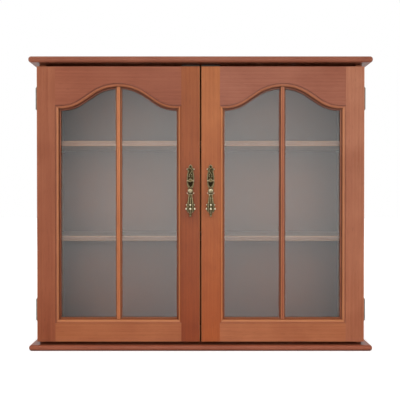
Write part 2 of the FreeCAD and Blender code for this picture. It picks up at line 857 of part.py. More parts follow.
def door_frame(name, side):
    hinge_stile = stile_blank(f"{name}_hinge_stile_blank", side, "case_half", -side)
    meeting_stile = stile_blank(f"{name}_meeting_stile_blank", side, "door_inner", side)
    bottom_rail = bottom_rail_blank(f"{name}_bottom_rail_blank", side)
    top_rail = top_rail_blank(f"{name}_top_rail_blank", side)
    muntin = muntin_blank(f"{name}_muntin_blank", side)
    shared = frame_dowel_holes(side) + bead_pin_holes(side)
    hinge_pilots = []
    for hinge in HINGES.values():
        for height in hinge_screw_heights(hinge):
            hinge_pilots.append(pilot((across(side, "hinge_screw_x"), "door_back", height), "-y"))
    pull_spot = (across(side, "pull_x"), "door_face", "pull_height")
    pull_hole = rod("pull_screw_radius + stile_hole_clearance", "door_thick", pull_spot, "y")
    strike_pilot = pilot((across(side, "catch_x"), "door_back", "strike_height_z"), "-y")
    stiles = [hinge_stile, meeting_stile]
    node(f"{name}_hinge_stile", cut(hinge_stile, shared + hinge_pilots))
    node(f"{name}_meeting_stile", cut(meeting_stile, shared + [pull_hole, strike_pilot]))
    node(f"{name}_bottom_rail", cut(bottom_rail, stiles + shared))
    node(f"{name}_top_rail", cut(top_rail, stiles + shared))
    node(f"{name}_muntin", cut(muntin, [bottom_rail, top_rail]))
    length = frame_dowel_length()
    dowels = [rod("dowel_radius", length, spot[:3], spot[3]) for spot in frame_dowel_places(side)]
    node(f"{name}_frame_dowels", group(dowels))
    glazing(name, side)


# hinges


def hinge_leaf(side, hinge, own, faces):
    """Leaf plate, its own knuckles and the fingers that carry them, bored for the pin and screws."""
    foot = f"{hinge} - barrel_length / 2"
    fold = "hinge_axis_x - knuckle_radius - leaf_notch_play"
    plate_x = side_span(side, "case_half - side_thick + leaf_margin", fold)
    ends = (f"{foot} + knuckle_play / 2", f"{foot} + barrel_length - knuckle_play / 2")
    pieces = [block(plate_x, faces, ends)]
    axis = (across(side, "hinge_axis_x"), "hinge_axis_y")
    for index in own:
        low = f"{foot} + {index} * knuckle_pitch + knuckle_play / 2"
        high = f"{foot} + {index + 1} * knuckle_pitch - knuckle_play / 2"
        pieces.append(block(side_span(side, fold, "hinge_axis_x"), faces, (low, high)))
        pieces.append(rod("knuckle_radius", "knuckle_pitch - knuckle_play", (*axis, low), "z"))
    return fuse(pieces), rod("hinge_bore", "barrel_length", (*axis, foot), "z")


def hinges(name, side, pins, case_screws):
    door_screws = []
    x = across(side, "hinge_screw_x")
    case_knuckles = range(0, KNUCKLES, 2)
    door_knuckles = range(1, KNUCKLES, 2)
    for position, hinge in HINGES.items():
        case_face = "side_front - leaf_thick"
        door_face = "door_back + leaf_thick"
        case_leaf, case_bore = hinge_leaf(side, hinge, case_knuckles, (case_face, "side_front"))
        door_leaf, door_bore = hinge_leaf(side, hinge, door_knuckles, ("door_back", door_face))
        case_tools = [case_bore]
        door_tools = [door_bore]
        for height in hinge_screw_heights(hinge):
            case_tools.append(countersink((x, case_face, height), "y", "leaf_thick"))
            door_tools.append(countersink((x, door_face, height), "-y", "leaf_thick"))
            case_screws.append(wood_screw((x, case_face, height), "y", "leaf_thick"))
            door_screws.append(wood_screw((x, door_face, height), "-y", "leaf_thick"))
        node(f"{name}_{position}_case_leaf", cut(case_leaf, case_tools))
        node(f"{name}_{position}_door_leaf", cut(door_leaf, door_tools))
        axis = (across(side, "hinge_axis_x"), "hinge_axis_y")
        head = f"{hinge} + barrel_length / 2"
        foot = f"{hinge} - barrel_length / 2"
        shaft = rod("hinge_pin_radius", "barrel_length", (*axis, foot), "z")
        cap = cone("pin_head_radius", "hinge_pin_radius", "pin_head_length", (*axis, head), "z")
        toe = cone("pin_head_radius", "hinge_pin_radius", "pin_head_length", (*axis, foot), "-z")
        pins.append(fuse([shaft, cap, toe]))
    node(f"{name}_door_hinge_screws", group(door_screws))


# magnetic catches


def catch_pilot(side, ear):
    x = f"{across(side, 'catch_x')} + {ear} * catch_screw_x"
    bite = "catch_screw_length - catch_ear_thick + screw_head_radius - screw_radius"
    return pilot((x, "catch_front + magnet_depth / 2", "top_under"), "z", bite)


def catches():
    magnets = []
    poles = []
    screws = []
    head = "(screw_head_radius - screw_radius)"
    for name, side in SIDES.items():
        middle = across(side, "catch_x")
        rear = "catch_front + magnet_depth + magnet_clearance + catch_wall"
        core = (f"{middle} - catch_half", f"{middle} + catch_half")
        floor = "strike_height_z - catch_core - catch_wall"
        tray = block(core, ("catch_front", rear), (floor, "top_under"))
        wide = (f"{middle} - catch_half - catch_ear", f"{middle} + catch_half + catch_ear")
        ears = block(wide, ("catch_front", rear), ("top_under - catch_ear_thick", "top_under"))
        room = "magnet_width / 2 + magnet_clearance"
        pocket = block(
            (f"{middle} - ({room})", f"{middle} + {room}"),
            ("catch_front", "catch_front + magnet_depth + magnet_clearance"),
            ("strike_height_z - catch_core", "strike_height_z + catch_core"),
        )
        tools = [pocket]
        y = "catch_front + magnet_depth / 2"
        for ear in (-1, 1):
            x = f"{middle} + {ear} * catch_screw_x"
            start = (x, y, "top_under - catch_ear_thick")
            tools.append(countersink(start, "z", head))
            tools.append(rod("screw_radius + screw_clearance", "catch_ear_thick", start, "z"))
            screws.append(wood_screw(start, "z", head, "catch_screw_length"))
        node(f"{name}_catch_housing", cut(fuse([tray, ears]), tools))
        span = (f"{middle} - magnet_width / 2", f"{middle} + magnet_width / 2")
        heights = ("strike_height_z - magnet_height / 2", "strike_height_z + magnet_height / 2")
        magnets.append(block(span, ("catch_front", "catch_front + magnet_depth"), heights))
        depth = ("catch_poles_y", "catch_front + magnet_depth")
        poles.append(block(span, depth, (heights[1], f"{heights[1]} + pole_thick")))
        poles.append(block(span, depth, (f"{heights[0]} - pole_thick", heights[0])))
    node("catch_magnets", group(magnets))
    node("catch_pole_plates", group(poles))
    node("catch_screws", group(screws))


def strike(name, side):
    middle = across(side, "catch_x")
    faces = ("door_back", "door_back + strike_thick")
    plate = block(
        (f"{middle} - strike_width / 2", f"{middle} + strike_width / 2"),
        faces,
        ("strike_height_z - strike_height / 2", "strike_height_z + strike_height / 2"),
    )
    start = (middle, faces[1], "strike_height_z")
    node(f"{name}_strike_plate", cut(plate, [countersink(start, "-y", "strike_thick")]))
    node(f"{name}_strike_screw", wood_screw(start, "-y", "strike_thick"))


# drop pulls


def pull_backplate(name, side):
    """Leaf-shaped plate with a finial, two ears and piercings, and the post that carries the drop."""
    body = new_body(f"{name}_pull_leaf")
    right = [
        ("0", "-plate_foot_drop", "plate_lower_arc", 1),
        ("plate_half_width", "plate_waist_rise", "plate_upper_arc", 1),
        ("plate_shoulder_half", "plate_shoulder_rise"),
        ("plate_neck_half", "plate_neck_rise"),
    ]
    left = [
        ("-plate_neck_half", "plate_neck_rise"),
        ("-plate_shoulder_half", "plate_shoulder_rise", "plate_upper_arc", 1),
        ("-plate_half_width", "plate_waist_rise", "plate_lower_arc", 1),
    ]
    pad(body, outline(body, "XZ_Plane", right + left), "pull_plate_thick")
    x = across(side, "pull_x")
    place(body, x, "door_face", "pull_height")
    thick = "pull_plate_thick"
    pieces = [body, rod("finial_radius", thick, (x, "door_face", "pull_height + finial_rise"), "-y")]
    holes = []
    for half in (-1, 1):
        ear = (f"{x} + {half} * plate_ear_half", "door_face", "pull_height + plate_shoulder_rise")
        pieces.append(rod("plate_ear_radius", thick, ear, "-y"))
        for rise in ("lower_piercing_rise", "upper_piercing_rise"):
            spot = (f"{x} + {half} * piercing_half", "door_face", f"pull_height + {rise}")
            holes.append(rod("piercing_radius", thick, spot, "-y"))
    pieces.append(rod("post_radius", "pull_standoff", (x, "door_face", "pull_height"), "-y"))
    nose = (x, "pull_axis_y", "pull_height")
    pieces.append(cone("post_radius", "post_nose_radius", "post_nose", nose, "-y"))
    bore = "pull_screw_radius + pull_screw_clearance"
    holes.append(rod(bore, "pull_screw_bite + dowel_end_gap", (x, "door_face", "pull_height"), "-y"))
    pin_start = (f"{x} - post_radius", "pull_axis_y", "pull_height")
    holes.append(rod("pull_pin_radius + running_clearance", "2 * post_radius", pin_start, "x"))
    node(f"{name}_pull_backplate", cut(fuse(pieces), holes))
    pin_start = (f"{x} - fork_half", "pull_axis_y", "pull_height")
    node(f"{name}_pull_pin", rod("pull_pin_radius", "2 * fork_half", pin_start, "x"))
    head = ("door_back + pull_screw_head_thick", "pull_height")
    cap = rod("pull_screw_head_radius", "pull_screw_head_thick", (x, *head), "-y")
    shank = rod("pull_screw_radius", "door_thick + pull_screw_bite", (x, "door_back", "pull_height"), "-y")
    node(f"{name}_pull_screw", fuse([cap, shank]))


def pull_drop(name, side):
    """Turned drop on a fork: a ball, a slender neck that flares to a bell with pearls, and a tip."""
    x = across(side, "pull_x")
    turned = new_body(f"{name}_pull_turning")
    profile = [
        ("0", "-ball_drop"),
        ("0", "-tip_drop", "tip_radius", 1),
        ("tip_radius", "tip_radius - tip_drop"),
        ("tip_radius", "2 * tip_radius - tip_drop"),
        ("cup_radius", "-cup_drop"),
        ("bell_radius", "-bell_drop - bell_band / 2"),
        ("bell_radius", "bell_band / 2 - bell_drop"),
        ("flare_radius", "-flare_drop", "flare_arc", -1),
        ("neck_radius", "-neck_drop"),
        ("neck_radius", "-ball_drop"),
    ]
    sketch = outline(turned, "XZ_Plane", profile)
    spun = turned.newObject("PartDesign::Revolution", "spun")
    spun.Profile = sketch
    spun.ReferenceAxis = (sketch, ["V_Axis"])
    spun.Angle = 360
    place(turned, x, "pull_axis_y", "pull_height")
    prongs = new_body(f"{name}_pull_fork")
    fork = [
        ("-fork_half", "0"),
        ("-neck_radius", "-fork_drop"),
        ("neck_radius", "-fork_drop"),
        ("fork_half", "0"),
        ("fork_gap", "0"),
        ("fork_gap / 2", "-fork_crotch_drop"),
        ("-fork_gap / 2", "-fork_crotch_drop"),
        ("-fork_gap", "0"),
    ]
    pad(prongs, outline(prongs, "XZ_Plane", fork), "2 * fork_eye_radius")
    place(prongs, x, "pull_axis_y + fork_eye_radius", "pull_height")
    pieces = [turned, prongs, ball("ball_radius", (x, "pull_axis_y", "pull_height - ball_drop"))]
    for half in (-1, 1):
        inner = "fork_gap" if half > 0 else "-fork_half"
        start = (f"{x} + {inner}", "pull_axis_y", "pull_height")
        pieces.append(rod("fork_eye_radius", "fork_wall", start, "x"))
    lower_row = ("lower_pearl_radius", "bell_drop", "bell_radius")
    upper_row = ("upper_pearl_radius", "flare_drop", "flare_radius")
    for radius, drop, ring in (lower_row, upper_row):
        for index in range(PEARLS_AROUND):
            turn = f"{index} * 360 / {PEARLS_AROUND}"
            centre = (
                f"{x} + ({ring} - pearl_seat) * sin({turn} * 1 deg)",
                f"pull_axis_y - ({ring} - pearl_seat) * cos({turn} * 1 deg)",
                f"pull_height - {drop}",
            )
            pieces.append(ball(radius, centre))
    start = (f"{x} - fork_half", "pull_axis_y", "pull_height")
    bore = rod("pull_pin_radius + running_clearance", "2 * fork_half", start, "x")
    node(f"{name}_pull_drop", cut(fuse(pieces), [bore]))


def build():
    fill_sheet()
    top_and_base()
    back_and_hanging_rail()
    carcass_dowels()
    shelf_pins()
    catches()
    for name, top in SHELVES.items():
        shelf(name, top)
    hinge_pins = []
    case_screws = []
    for name, side in SIDES.items():
        side_panel(name, side)
        door_frame(f"{name}_door", side)
        hinges(name, side, hinge_pins, case_screws)
        strike(name, side)
        pull_backplate(name, side)
        pull_drop(name, side)
    node("hinge_pins", group(hinge_pins))
    node("case_hinge_screws", group(case_screws))
    doc.recompute()


def write_pieces():
    for item in doc.Objects:
        if {"Invalid", "Error"} & set(item.State):
            raise RuntimeError(f"{item.Label} did not build: {item.State}")
    for item in nodes:
        if item.Shape.isNull() or not item.Shape.isValid():
            raise RuntimeError(f"{item.Label} has no valid shape")
    os.makedirs("parts", exist_ok=True)
    for item in nodes:
        item.Shape.exportStep(f"parts/{item.Label}.step")
        print(item.Label, len(item.Shape.Solids), round(item.Shape.Volume, 1))


build()
write_pieces()
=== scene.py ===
# %% [markdown]
# A wall display cabinet, dressed in Blender.
# The solids come in ready made and stay where they are: boards, doors, hinges, catches and panes.
# This lesson gives them their finishes and casts the two ornamental pulls as finer meshes.

# %% Load the solids
import json
import math

import bmesh
import bpy
from mathutils import Matrix, Vector
from mathutils.geometry import interpolate_bezier


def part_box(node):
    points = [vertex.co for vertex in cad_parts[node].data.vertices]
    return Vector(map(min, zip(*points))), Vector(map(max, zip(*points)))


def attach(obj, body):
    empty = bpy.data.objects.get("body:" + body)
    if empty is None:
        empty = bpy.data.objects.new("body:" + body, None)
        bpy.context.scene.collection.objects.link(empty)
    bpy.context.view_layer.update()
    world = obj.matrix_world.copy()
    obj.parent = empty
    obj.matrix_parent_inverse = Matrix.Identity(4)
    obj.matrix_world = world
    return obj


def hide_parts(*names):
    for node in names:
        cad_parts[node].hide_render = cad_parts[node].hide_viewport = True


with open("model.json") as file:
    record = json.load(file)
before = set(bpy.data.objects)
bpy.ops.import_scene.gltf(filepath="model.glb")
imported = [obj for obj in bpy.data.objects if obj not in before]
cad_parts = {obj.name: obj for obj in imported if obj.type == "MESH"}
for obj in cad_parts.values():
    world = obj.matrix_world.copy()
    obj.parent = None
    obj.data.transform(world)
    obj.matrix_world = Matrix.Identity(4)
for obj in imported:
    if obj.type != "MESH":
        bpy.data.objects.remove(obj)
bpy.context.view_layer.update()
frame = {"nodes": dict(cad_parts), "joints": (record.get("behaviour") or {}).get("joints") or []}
nodes = frame["nodes"]
scene = bpy.context.scene
MM = 0.001
SIDES = ("left", "right")

# %% [markdown]
# Colours are easiest to pick as the hex values of a paint card, which are sRGB.
# Blender works in linear light, so one function turns the one into the other, by the standard's formula.

# %% Colours from a paint card
SRGB_KNEE = 0.04045
SRGB_SLOPE = 12.92
SRGB_OFFSET = 0.055
SRGB_POWER = 2.4


def linear(paint):
    """Linear colour of an sRGB hex value such as "#8a4f32"."""
    light = []
    for start in (1, 3, 5):
        channel = int(paint[start:start + 2], 16) / 255
        if channel <= SRGB_KNEE:
            light.append(channel / SRGB_SLOPE)
        else:
            light.append(((channel + SRGB_OFFSET) / (1 + SRGB_OFFSET)) ** SRGB_POWER)
    return light + [1]


print("a card's middle grey is", round(linear("#808080")[0], 3), "of white in linear light")

# %% [markdown]
# One function adds a node to any tree, with its settings and its links, so that a finish reads as a
# list of what feeds what. Two more start an empty material and fill in the colours of a ramp.
# A Mix node has sockets for numbers, vectors and colours side by side, so the ones for colours are
# named here once.

# %% Nodes, materials and ramps
MIX_SHARE = 0
MIX_FIRST = 6
MIX_SECOND = 7
MIXED = 2


def add(tree, kind, inputs=None, **settings):
    """Add a node; an input is a value, or the output socket that feeds it."""
    node = tree.nodes.new(kind)
    for name, value in settings.items():
        setattr(node, name, value)
    for socket, value in (inputs or {}).items():
        if isinstance(value, bpy.types.NodeSocket):
            tree.links.new(value, node.inputs[socket])
        else:
            node.inputs[socket].default_value = value
    return node


def new_material(name):
    """Material with an empty tree."""
    material = bpy.data.materials.new(name)
    material.use_nodes = True
    material.node_tree.nodes.clear()
    return material, material.node_tree


def set_stops(ramp, stops):
    """Give a ramp its colours, listed by rising position."""
    elements = ramp.color_ramp.elements
    while len(elements) < len(stops):
        elements.new(1.0)
    for element, (position, colour) in zip(elements, stops.items()):
        element.position = position
        element.color = colour


print("a Mix node takes colours on sockets", MIX_FIRST, "and", MIX_SECOND)

# %% [markdown]
# The camera stands in front of the doors, a little above their middle, and looks very slightly down.
# That was found from the picture: the boards' ends show that the eye is level with the pulls, and
# the case is half a percent wider at its head than at its foot.

# %% Camera
EYE_DISTANCE = 1100 * MM
EYE_HEIGHT = 298.1 * MM
EYE_SIDE = -1.1 * MM
PITCH_DOWN = math.radians(0.535)
PICTURE_WIDTH = 761.8 * MM

door_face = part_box("left_door_hinge_stile")[0].y
camera_data = bpy.data.cameras.new("camera")
camera_data.angle = 2 * math.atan(PICTURE_WIDTH / 2 / EYE_DISTANCE)
camera = bpy.data.objects.new("camera", camera_data)
camera.location = (EYE_SIDE, door_face - EYE_DISTANCE, EYE_HEIGHT)
camera.rotation_euler = (math.radians(90) - PITCH_DOWN, 0, 0)
scene.collection.objects.link(camera)
scene.camera = camera
print("field of view", round(math.degrees(camera_data.angle), 1), "degrees")

# %% [markdown]
# The case and the doors are a plain hardwood, stained cherry red and sprayed with satin lacquer.
# An image could be wrapped round each board, but a solid texture suits sawn timber best: it is defined
# through the whole board, so that faces, edges and end grain agree with no unwrapping.
# Growth rings are cylinders about a pith line that runs along the board, a little to one side of it.
# Streaks are noise that is drawn out along the grain, and the stain takes in soft clouds.

# %% Figure of the wood
RING_SPACING = 7 * MM
STREAK_WIDTH = 4 * MM
CLOUD_SIZE = 70 * MM
GRAIN_STRETCH = 0.035
# Length after which a wave texture repeats at a scale of 1.
WAVE_PERIOD = 0.314159
RING_WANDER = {"Distortion": 5.0, "Detail": 2.0, "Detail Scale": 1.2, "Detail Roughness": 0.6}
STREAK_BREAKS = {"Detail": 3.0, "Roughness": 0.6}
CLOUD_BREAKS = {"Detail": 2.0, "Roughness": 0.5}
FIGURE_WEIGHTS = {"rings": 0.22, "streaks": 0.75, "clouds": 1.0}
FIGURE_REACH = 0.46


def wood_figure(tree, board):
    """How pale the figure is, from 0 to 1, and the streaks alone."""
    drawn = add(tree, "ShaderNodeVectorMath", {
        0: board, 1: (1, 1, GRAIN_STRETCH),
    }, operation="MULTIPLY").outputs[0]
    rings = add(tree, "ShaderNodeTexWave", {
        "Vector": drawn, "Scale": WAVE_PERIOD / RING_SPACING, **RING_WANDER,
    }, wave_type="RINGS", rings_direction="Z", wave_profile="SAW").outputs["Fac"]
    streaks = add(tree, "ShaderNodeTexNoise", {
        "Vector": drawn, "Scale": 1 / STREAK_WIDTH, **STREAK_BREAKS,
    }).outputs["Fac"]
    clouds = add(tree, "ShaderNodeTexNoise", {
        "Vector": board, "Scale": 1 / CLOUD_SIZE, **CLOUD_BREAKS,
    }).outputs["Fac"]
    figure = 0.0
    for layer, weight in zip((rings, streaks, clouds), FIGURE_WEIGHTS.values()):
        figure = add(tree, "ShaderNodeMath", {
            0: layer, 1: weight, 2: figure,
        }, operation="MULTIPLY_ADD").outputs[0]
    average = sum(FIGURE_WEIGHTS.values()) / 2
    paleness = add(tree, "ShaderNodeMapRange", {
        "Value": figure, "From Min": average - FIGURE_REACH, "From Max": average + FIGURE_REACH,
    }).outputs[0]
    return paleness, streaks


print("streaks are", round(STREAK_WIDTH / GRAIN_STRETCH / MM), "mm long")

# %% [markdown]
# The stain goes deeper where the wood is soft, so the figure is dark and pale tones of one colour.
# It settles in the pores. Real pores are a tenth of a millimetre wide, which no picture of this size
# shows, so they are drawn coarser here, as short dashes of noise along the grain.

# %% Stain and pores
STAIN_CONTRAST = (0.2, 0.3, 0.36)
PORE_STAIN = "#4a2413"
PORE_WIDTH = 0.9 * MM
PORE_STRETCH = 0.07
PORE_EDGE = (0.60, 0.72)
PORE_SHARE = 0.2


def shifted(colour, parts, way):
    """Colour with each channel moved up or down by its own part."""
    return [channel * (1 + way * part) for channel, part in zip(colour, parts)] + [1]


def wood_pores(tree, board):
    """Noise in short dashes along the grain."""
    dashes = add(tree, "ShaderNodeVectorMath", {
        0: board, 1: (1, 1, PORE_STRETCH),
    }, operation="MULTIPLY").outputs[0]
    return add(tree, "ShaderNodeTexNoise", {
        "Vector": dashes, "Scale": 1 / PORE_WIDTH, "Detail": 1.0,
    }).outputs["Fac"]


def stain_colour(tree, paleness, specks, stain):
    """Stain about its middle tone, darker in the pores."""
    middle = linear(stain)
    tones = add(tree, "ShaderNodeValToRGB", {"Fac": paleness})
    set_stops(tones, {0.0: shifted(middle, STAIN_CONTRAST, -1), 1.0: shifted(middle, STAIN_CONTRAST, 1)})
    pores = add(tree, "ShaderNodeMapRange", {
        "Value": specks, "From Min": PORE_EDGE[0], "From Max": PORE_EDGE[1],
        "To Min": 0.0, "To Max": PORE_SHARE,
    }).outputs[0]
    return add(tree, "ShaderNodeMix", {
        MIX_SHARE: pores, MIX_FIRST: tones.outputs[0], MIX_SECOND: linear(PORE_STAIN),
    }, data_type="RGBA").outputs[MIXED]


print("pores are", PORE_WIDTH / MM, "mm wide and", round(PORE_WIDTH / PORE_STRETCH / MM), "mm long")

# %% [markdown]
# A painted sheen makes the upright pieces paler and more tan towards their heads, where more light falls
# and glances off the lacquer. Red rises least and blue most, so the three channels rise with height by
# parts of their own.

# %% Painted sheen at the heads
# Painted sheen: how much each channel rises at the heads of upright pieces, and between which heights.
HEAD_SHEEN = (0.03, 0.11, 0.18)
SHEEN_HEIGHTS = (50 * MM, 500 * MM)
NEUTRAL = (1, 1, 1)


def painted_head_sheen(tree, stained, place, head_sheen):
    """Stain of an upright piece, deeper at its foot and more tan at its head, as a painted sheen."""
    height = add(tree, "ShaderNodeSeparateXYZ", {0: place}).outputs["Z"]
    raised = add(tree, "ShaderNodeMapRange", {
        "Value": height, "From Min": SHEEN_HEIGHTS[0], "From Max": SHEEN_HEIGHTS[1],
    }).outputs[0]
    painted_sheen = add(tree, "ShaderNodeMix", {
        MIX_SHARE: raised,
        MIX_FIRST: shifted(NEUTRAL, HEAD_SHEEN, -head_sheen), MIX_SECOND: shifted(NEUTRAL, HEAD_SHEEN, head_sheen),
    }, data_type="RGBA").outputs[MIXED]
    return add(tree, "ShaderNodeMix", {
        MIX_SHARE: 1.0, MIX_FIRST: stained, MIX_SECOND: painted_sheen,
    }, data_type="RGBA", blend_type="MULTIPLY").outputs[MIXED]


print("bleaching goes from", SHEEN_HEIGHTS[0], "m up to", SHEEN_HEIGHTS[1], "m")

# %% [markdown]
# The rounds are made paler: bare wood shows where the finisher's cloth rubbed through, and a painted
# highlight lies where light would glint on them. That could be painted by hand on each piece, but the
# shape itself tells where it is: a round is where the surface leans between front and side.

# %% Rubbed rounds with painted highlight
# Bare wood, which on the rounds also stands for a painted highlight.
BARE_WOOD_HIGHLIGHT = "#e29a68"
WORN_HIGHLIGHT_LEAN = {0.3: 0.0, 0.6: 1.0, 0.9: 1.0, 0.98: 0.0}


def facing_front(tree):
    """0 where the surface faces sideways, 1 where it faces the front or the back."""
    normal = add(tree, "ShaderNodeTexCoord").outputs["Normal"]
    lean = add(tree, "ShaderNodeSeparateXYZ", {0: normal}).outputs["Y"]
    return add(tree, "ShaderNodeMath", {0: lean}, operation="ABSOLUTE").outputs[0]


def worn_highlit_rounds(tree, stained, front, rub_and_highlight):
    """Stain with a share of bare wood on the rounds, which also serves as a painted highlight."""
    rubbed_and_lit = add(tree, "ShaderNodeValToRGB", {"Fac": front})
    set_stops(rubbed_and_lit, {lean: [bare_and_highlight * rub_and_highlight] * 3 + [1] for lean, bare_and_highlight in WORN_HIGHLIGHT_LEAN.items()})
    return add(tree, "ShaderNodeMix", {
        MIX_SHARE: rubbed_and_lit.outputs[0], MIX_FIRST: stained, MIX_SECOND: linear(BARE_WOOD_HIGHLIGHT),
    }, data_type="RGBA").outputs[MIXED]


steepest = math.degrees(math.acos(min(WORN_HIGHLIGHT_LEAN)))
flattest = math.degrees(math.acos(max(WORN_HIGHLIGHT_LEAN)))
print("rounds lean", round(flattest), "to", round(steepest), "degrees from the front")

# %% [markdown]
# Painted shade is laid over the stain as a dark colour in grooves, in inner corners and where pieces
# meet, where shade falls. How much open air a point sees nearby tells such places, on every piece alike.
# Flanks that face sideways, such as the sides of a glazing bar, get painted shade too.

# %% Painted shade
# Painted shade: the dark colour laid where shade falls.
PAINTED_SHADE_COLOUR = "#32150a"
OPEN_AIR = (0.2, 0.95)
AIR_SAMPLES = 4
FLANK_LEAN = (0.35, 0.75)


def painted_corner_shade(tree, wiped, front, share):
    """Stain with painted shade in corners and on flanks."""
    air = add(tree, "ShaderNodeAmbientOcclusion", {"Distance": share["reach"]}, samples=AIR_SAMPLES)
    corner = add(tree, "ShaderNodeMapRange", {
        "Value": air.outputs["AO"], "From Min": OPEN_AIR[0], "From Max": OPEN_AIR[1],
        "To Min": share["painted_shade"], "To Max": 0.0,
    }).outputs[0]
    shaded_flank = add(tree, "ShaderNodeMapRange", {
        "Value": front, "From Min": FLANK_LEAN[0], "From Max": FLANK_LEAN[1],
        "To Min": share["shaded_flank"], "To Max": 0.0,
    }).outputs[0]
    kept = add(tree, "ShaderNodeMath", {0: corner, 1: shaded_flank}, operation="MAXIMUM").outputs[0]
    return add(tree, "ShaderNodeMix", {
        MIX_SHARE: kept, MIX_FIRST: wiped, MIX_SECOND: linear(PAINTED_SHADE_COLOUR),
    }, data_type="RGBA").outputs[MIXED]


print("no toner stays where", OPEN_AIR[1], "of the air is open")

# %% [markdown]
# One function puts these layers together in order: figure and stain, the painted sheen at the heads,
# bare wood and painted highlight on the rounds, painted shade, and the lacquer over all.
# The lacquer almost fills the pores, so that they leave only a faint relief in its shine.

# %% Stained hardwood
TURN_TO_GRAIN = {"X": (0, math.radians(90), 0), "Z": (0, 0, 0)}
LACQUER_GLOSS = 0.2
LACQUER_ROUGHNESS = (0.30, 0.38)
STREAK_RANGE = (0.3, 0.7)
PORE_RELIEF = 0.06
PORE_DEPTH = 0.1 * MM


def stained_hardwood(name, grain, pith, stain, share):
    """Lacquered board: warm streaks under a soft shine, painted shade in its corners, and pale rounds
    that are worn and carry a painted highlight.
    """
    material, tree = new_material(name)
    place = add(tree, "ShaderNodeTexCoord").outputs["Object"]
    along = add(tree, "ShaderNodeMapping", {
        "Vector": place, "Rotation": TURN_TO_GRAIN[grain],
    }).outputs[0]
    board = add(tree, "ShaderNodeVectorMath", {0: along, 1: pith}, operation="ADD").outputs[0]
    paleness, streaks = wood_figure(tree, board)
    specks = wood_pores(tree, board)
    colour = stain_colour(tree, paleness, specks, stain)
    if grain == "Z":
        colour = painted_head_sheen(tree, colour, place, share["head_sheen"])
    front = facing_front(tree)
    colour = worn_highlit_rounds(tree, colour, front, share["rub_and_highlight"])
    colour = painted_corner_shade(tree, colour, front, share)
    roughness = add(tree, "ShaderNodeMapRange", {
        "Value": streaks, "From Min": STREAK_RANGE[0], "From Max": STREAK_RANGE[1],
        "To Min": LACQUER_ROUGHNESS[0], "To Max": LACQUER_ROUGHNESS[1],
    }).outputs[0]
    relief = add(tree, "ShaderNodeBump", {
        "Height": specks, "Strength": PORE_RELIEF, "Distance": PORE_DEPTH,
    }).outputs[0]
    shader = add(tree, "ShaderNodeBsdfPrincipled", {
        "Base Color": colour, "Roughness": roughness, "Normal": relief,
        "Specular IOR Level": LACQUER_GLOSS,
    })
    add(tree, "ShaderNodeOutputMaterial", {"Surface": shader.outputs[0]})
    return material


print("lacquer roughness from", LACQUER_ROUGHNESS[0], "to", LACQUER_ROUGHNESS[1])

# %% [markdown]
# Every board was cut from another plank, so each piece gets its own pith line and its own stain: the
# left meeting stile is the reddest, the rails and the right door are paler. Part of that is painted
# light: the left muntin is paler because it catches more light, the left meeting stile is deeper because
# less sheen lies on it, and the top rails are darker than the bottom rails, in the shade of the top
# board.
# The grain follows the length of the piece: upright in stiles, sides and glazing bars, level in
# rails, shelves and boards.

# %% Grain and stain of each board
PITH_STEP = Vector((31, 17, 140)) * MM
PITH_START = Vector((45, 28, 0)) * MM
# Some of these stains carry painted light: the left muntin's paler stain, the left meeting stile's
# deeper one and the top rails' darker one.
BOARDS = {
    "top_board": ("X", "#8d513b"),
    "base_board": ("X", "#98533a"),
    "hanging_rail": ("X", "#8f4b2b"),
    "back_panel": ("Z", "#84452b"),
    "upper_shelf": ("X", "#9d6650"),
    "lower_shelf": ("X", "#8f6150"),
    "left_side_panel": ("Z", "#8f4b2b"),
    "left_door_hinge_stile": ("Z", "#955337"),
    "left_door_meeting_stile": ("Z", "#8d4520"),
    "left_door_bottom_rail": ("X", "#a25c38"),
    "left_door_top_rail": ("X", "#8f4f37"),
    "left_door_muntin": ("Z", "#b36840"),
    "left_door_glazing_beads": ("Z", "#8f4b2b"),
    "right_side_panel": ("Z", "#8f4b2b"),
    "right_door_hinge_stile": ("Z", "#a06044"),
    "right_door_meeting_stile": ("Z", "#a3572c"),
    "right_door_bottom_rail": ("X", "#a7613d"),
    "right_door_top_rail": ("X", "#935640"),
    "right_door_muntin": ("Z", "#945239"),
    "right_door_glazing_beads": ("Z", "#8f4b2b"),
}
upright = [name for name, (grain, stain) in BOARDS.items() if grain == "Z"]
print(len(BOARDS), "boards,", len(upright), "of them upright")

# %% [markdown]
# The finisher's hand differs by kind of piece too, and so does the painted light. Top and base boards
# get more painted shade under their noses, which are not rubbed and carry no painted highlight. Shelves
# have no painted shade. The flanks of the glazing bars are painted dark as shade, the meeting stiles
# carry the strongest painted sheen at their heads, and the back panel has painted shade in a wide soft
# band along its edges. In the table come the share of painted shade in corners, the reach, which is the
# width of that shaded band, the share of painted shade on flanks, the share of bare wood with painted
# highlight on rounds, and how strong the painted sheen at the head is.

# %% Wood on the solids
USUAL_SHARE = {"painted_shade": 0.42, "reach": 9 * MM, "shaded_flank": 0.0, "rub_and_highlight": 0.37, "head_sheen": 1.0}
SHARE_BY_ENDING = {
    "_board": {"painted_shade": 0.7, "rub_and_highlight": 0.0},
    "top_rail": {"painted_shade": 0.6, "rub_and_highlight": 0.22},
    "bottom_rail": {"painted_shade": 0.2},
    "meeting_stile": {"head_sheen": 2.2},
    "muntin": {"painted_shade": 0.9, "shaded_flank": 0.7},
    "shelf": {"painted_shade": 0.0},
    # Painted shade in a wide band along the back panel's edges and under the shelves.
    "back_panel": {"painted_shade": 0.7, "reach": 70 * MM, "head_sheen": 0.2},
}

for index, (name, (grain, stain)) in enumerate(BOARDS.items()):
    pith = PITH_START + PITH_STEP * index
    share = dict(USUAL_SHARE)
    for ending, own in SHARE_BY_ENDING.items():
        if name.endswith(ending):
            share.update(own)
    wood = stained_hardwood(f"stained_hardwood_{name}", grain, pith, stain, share)
    nodes[name].data.materials.clear()
    nodes[name].data.materials.append(wood)
print(len(BOARDS), "boards stained")

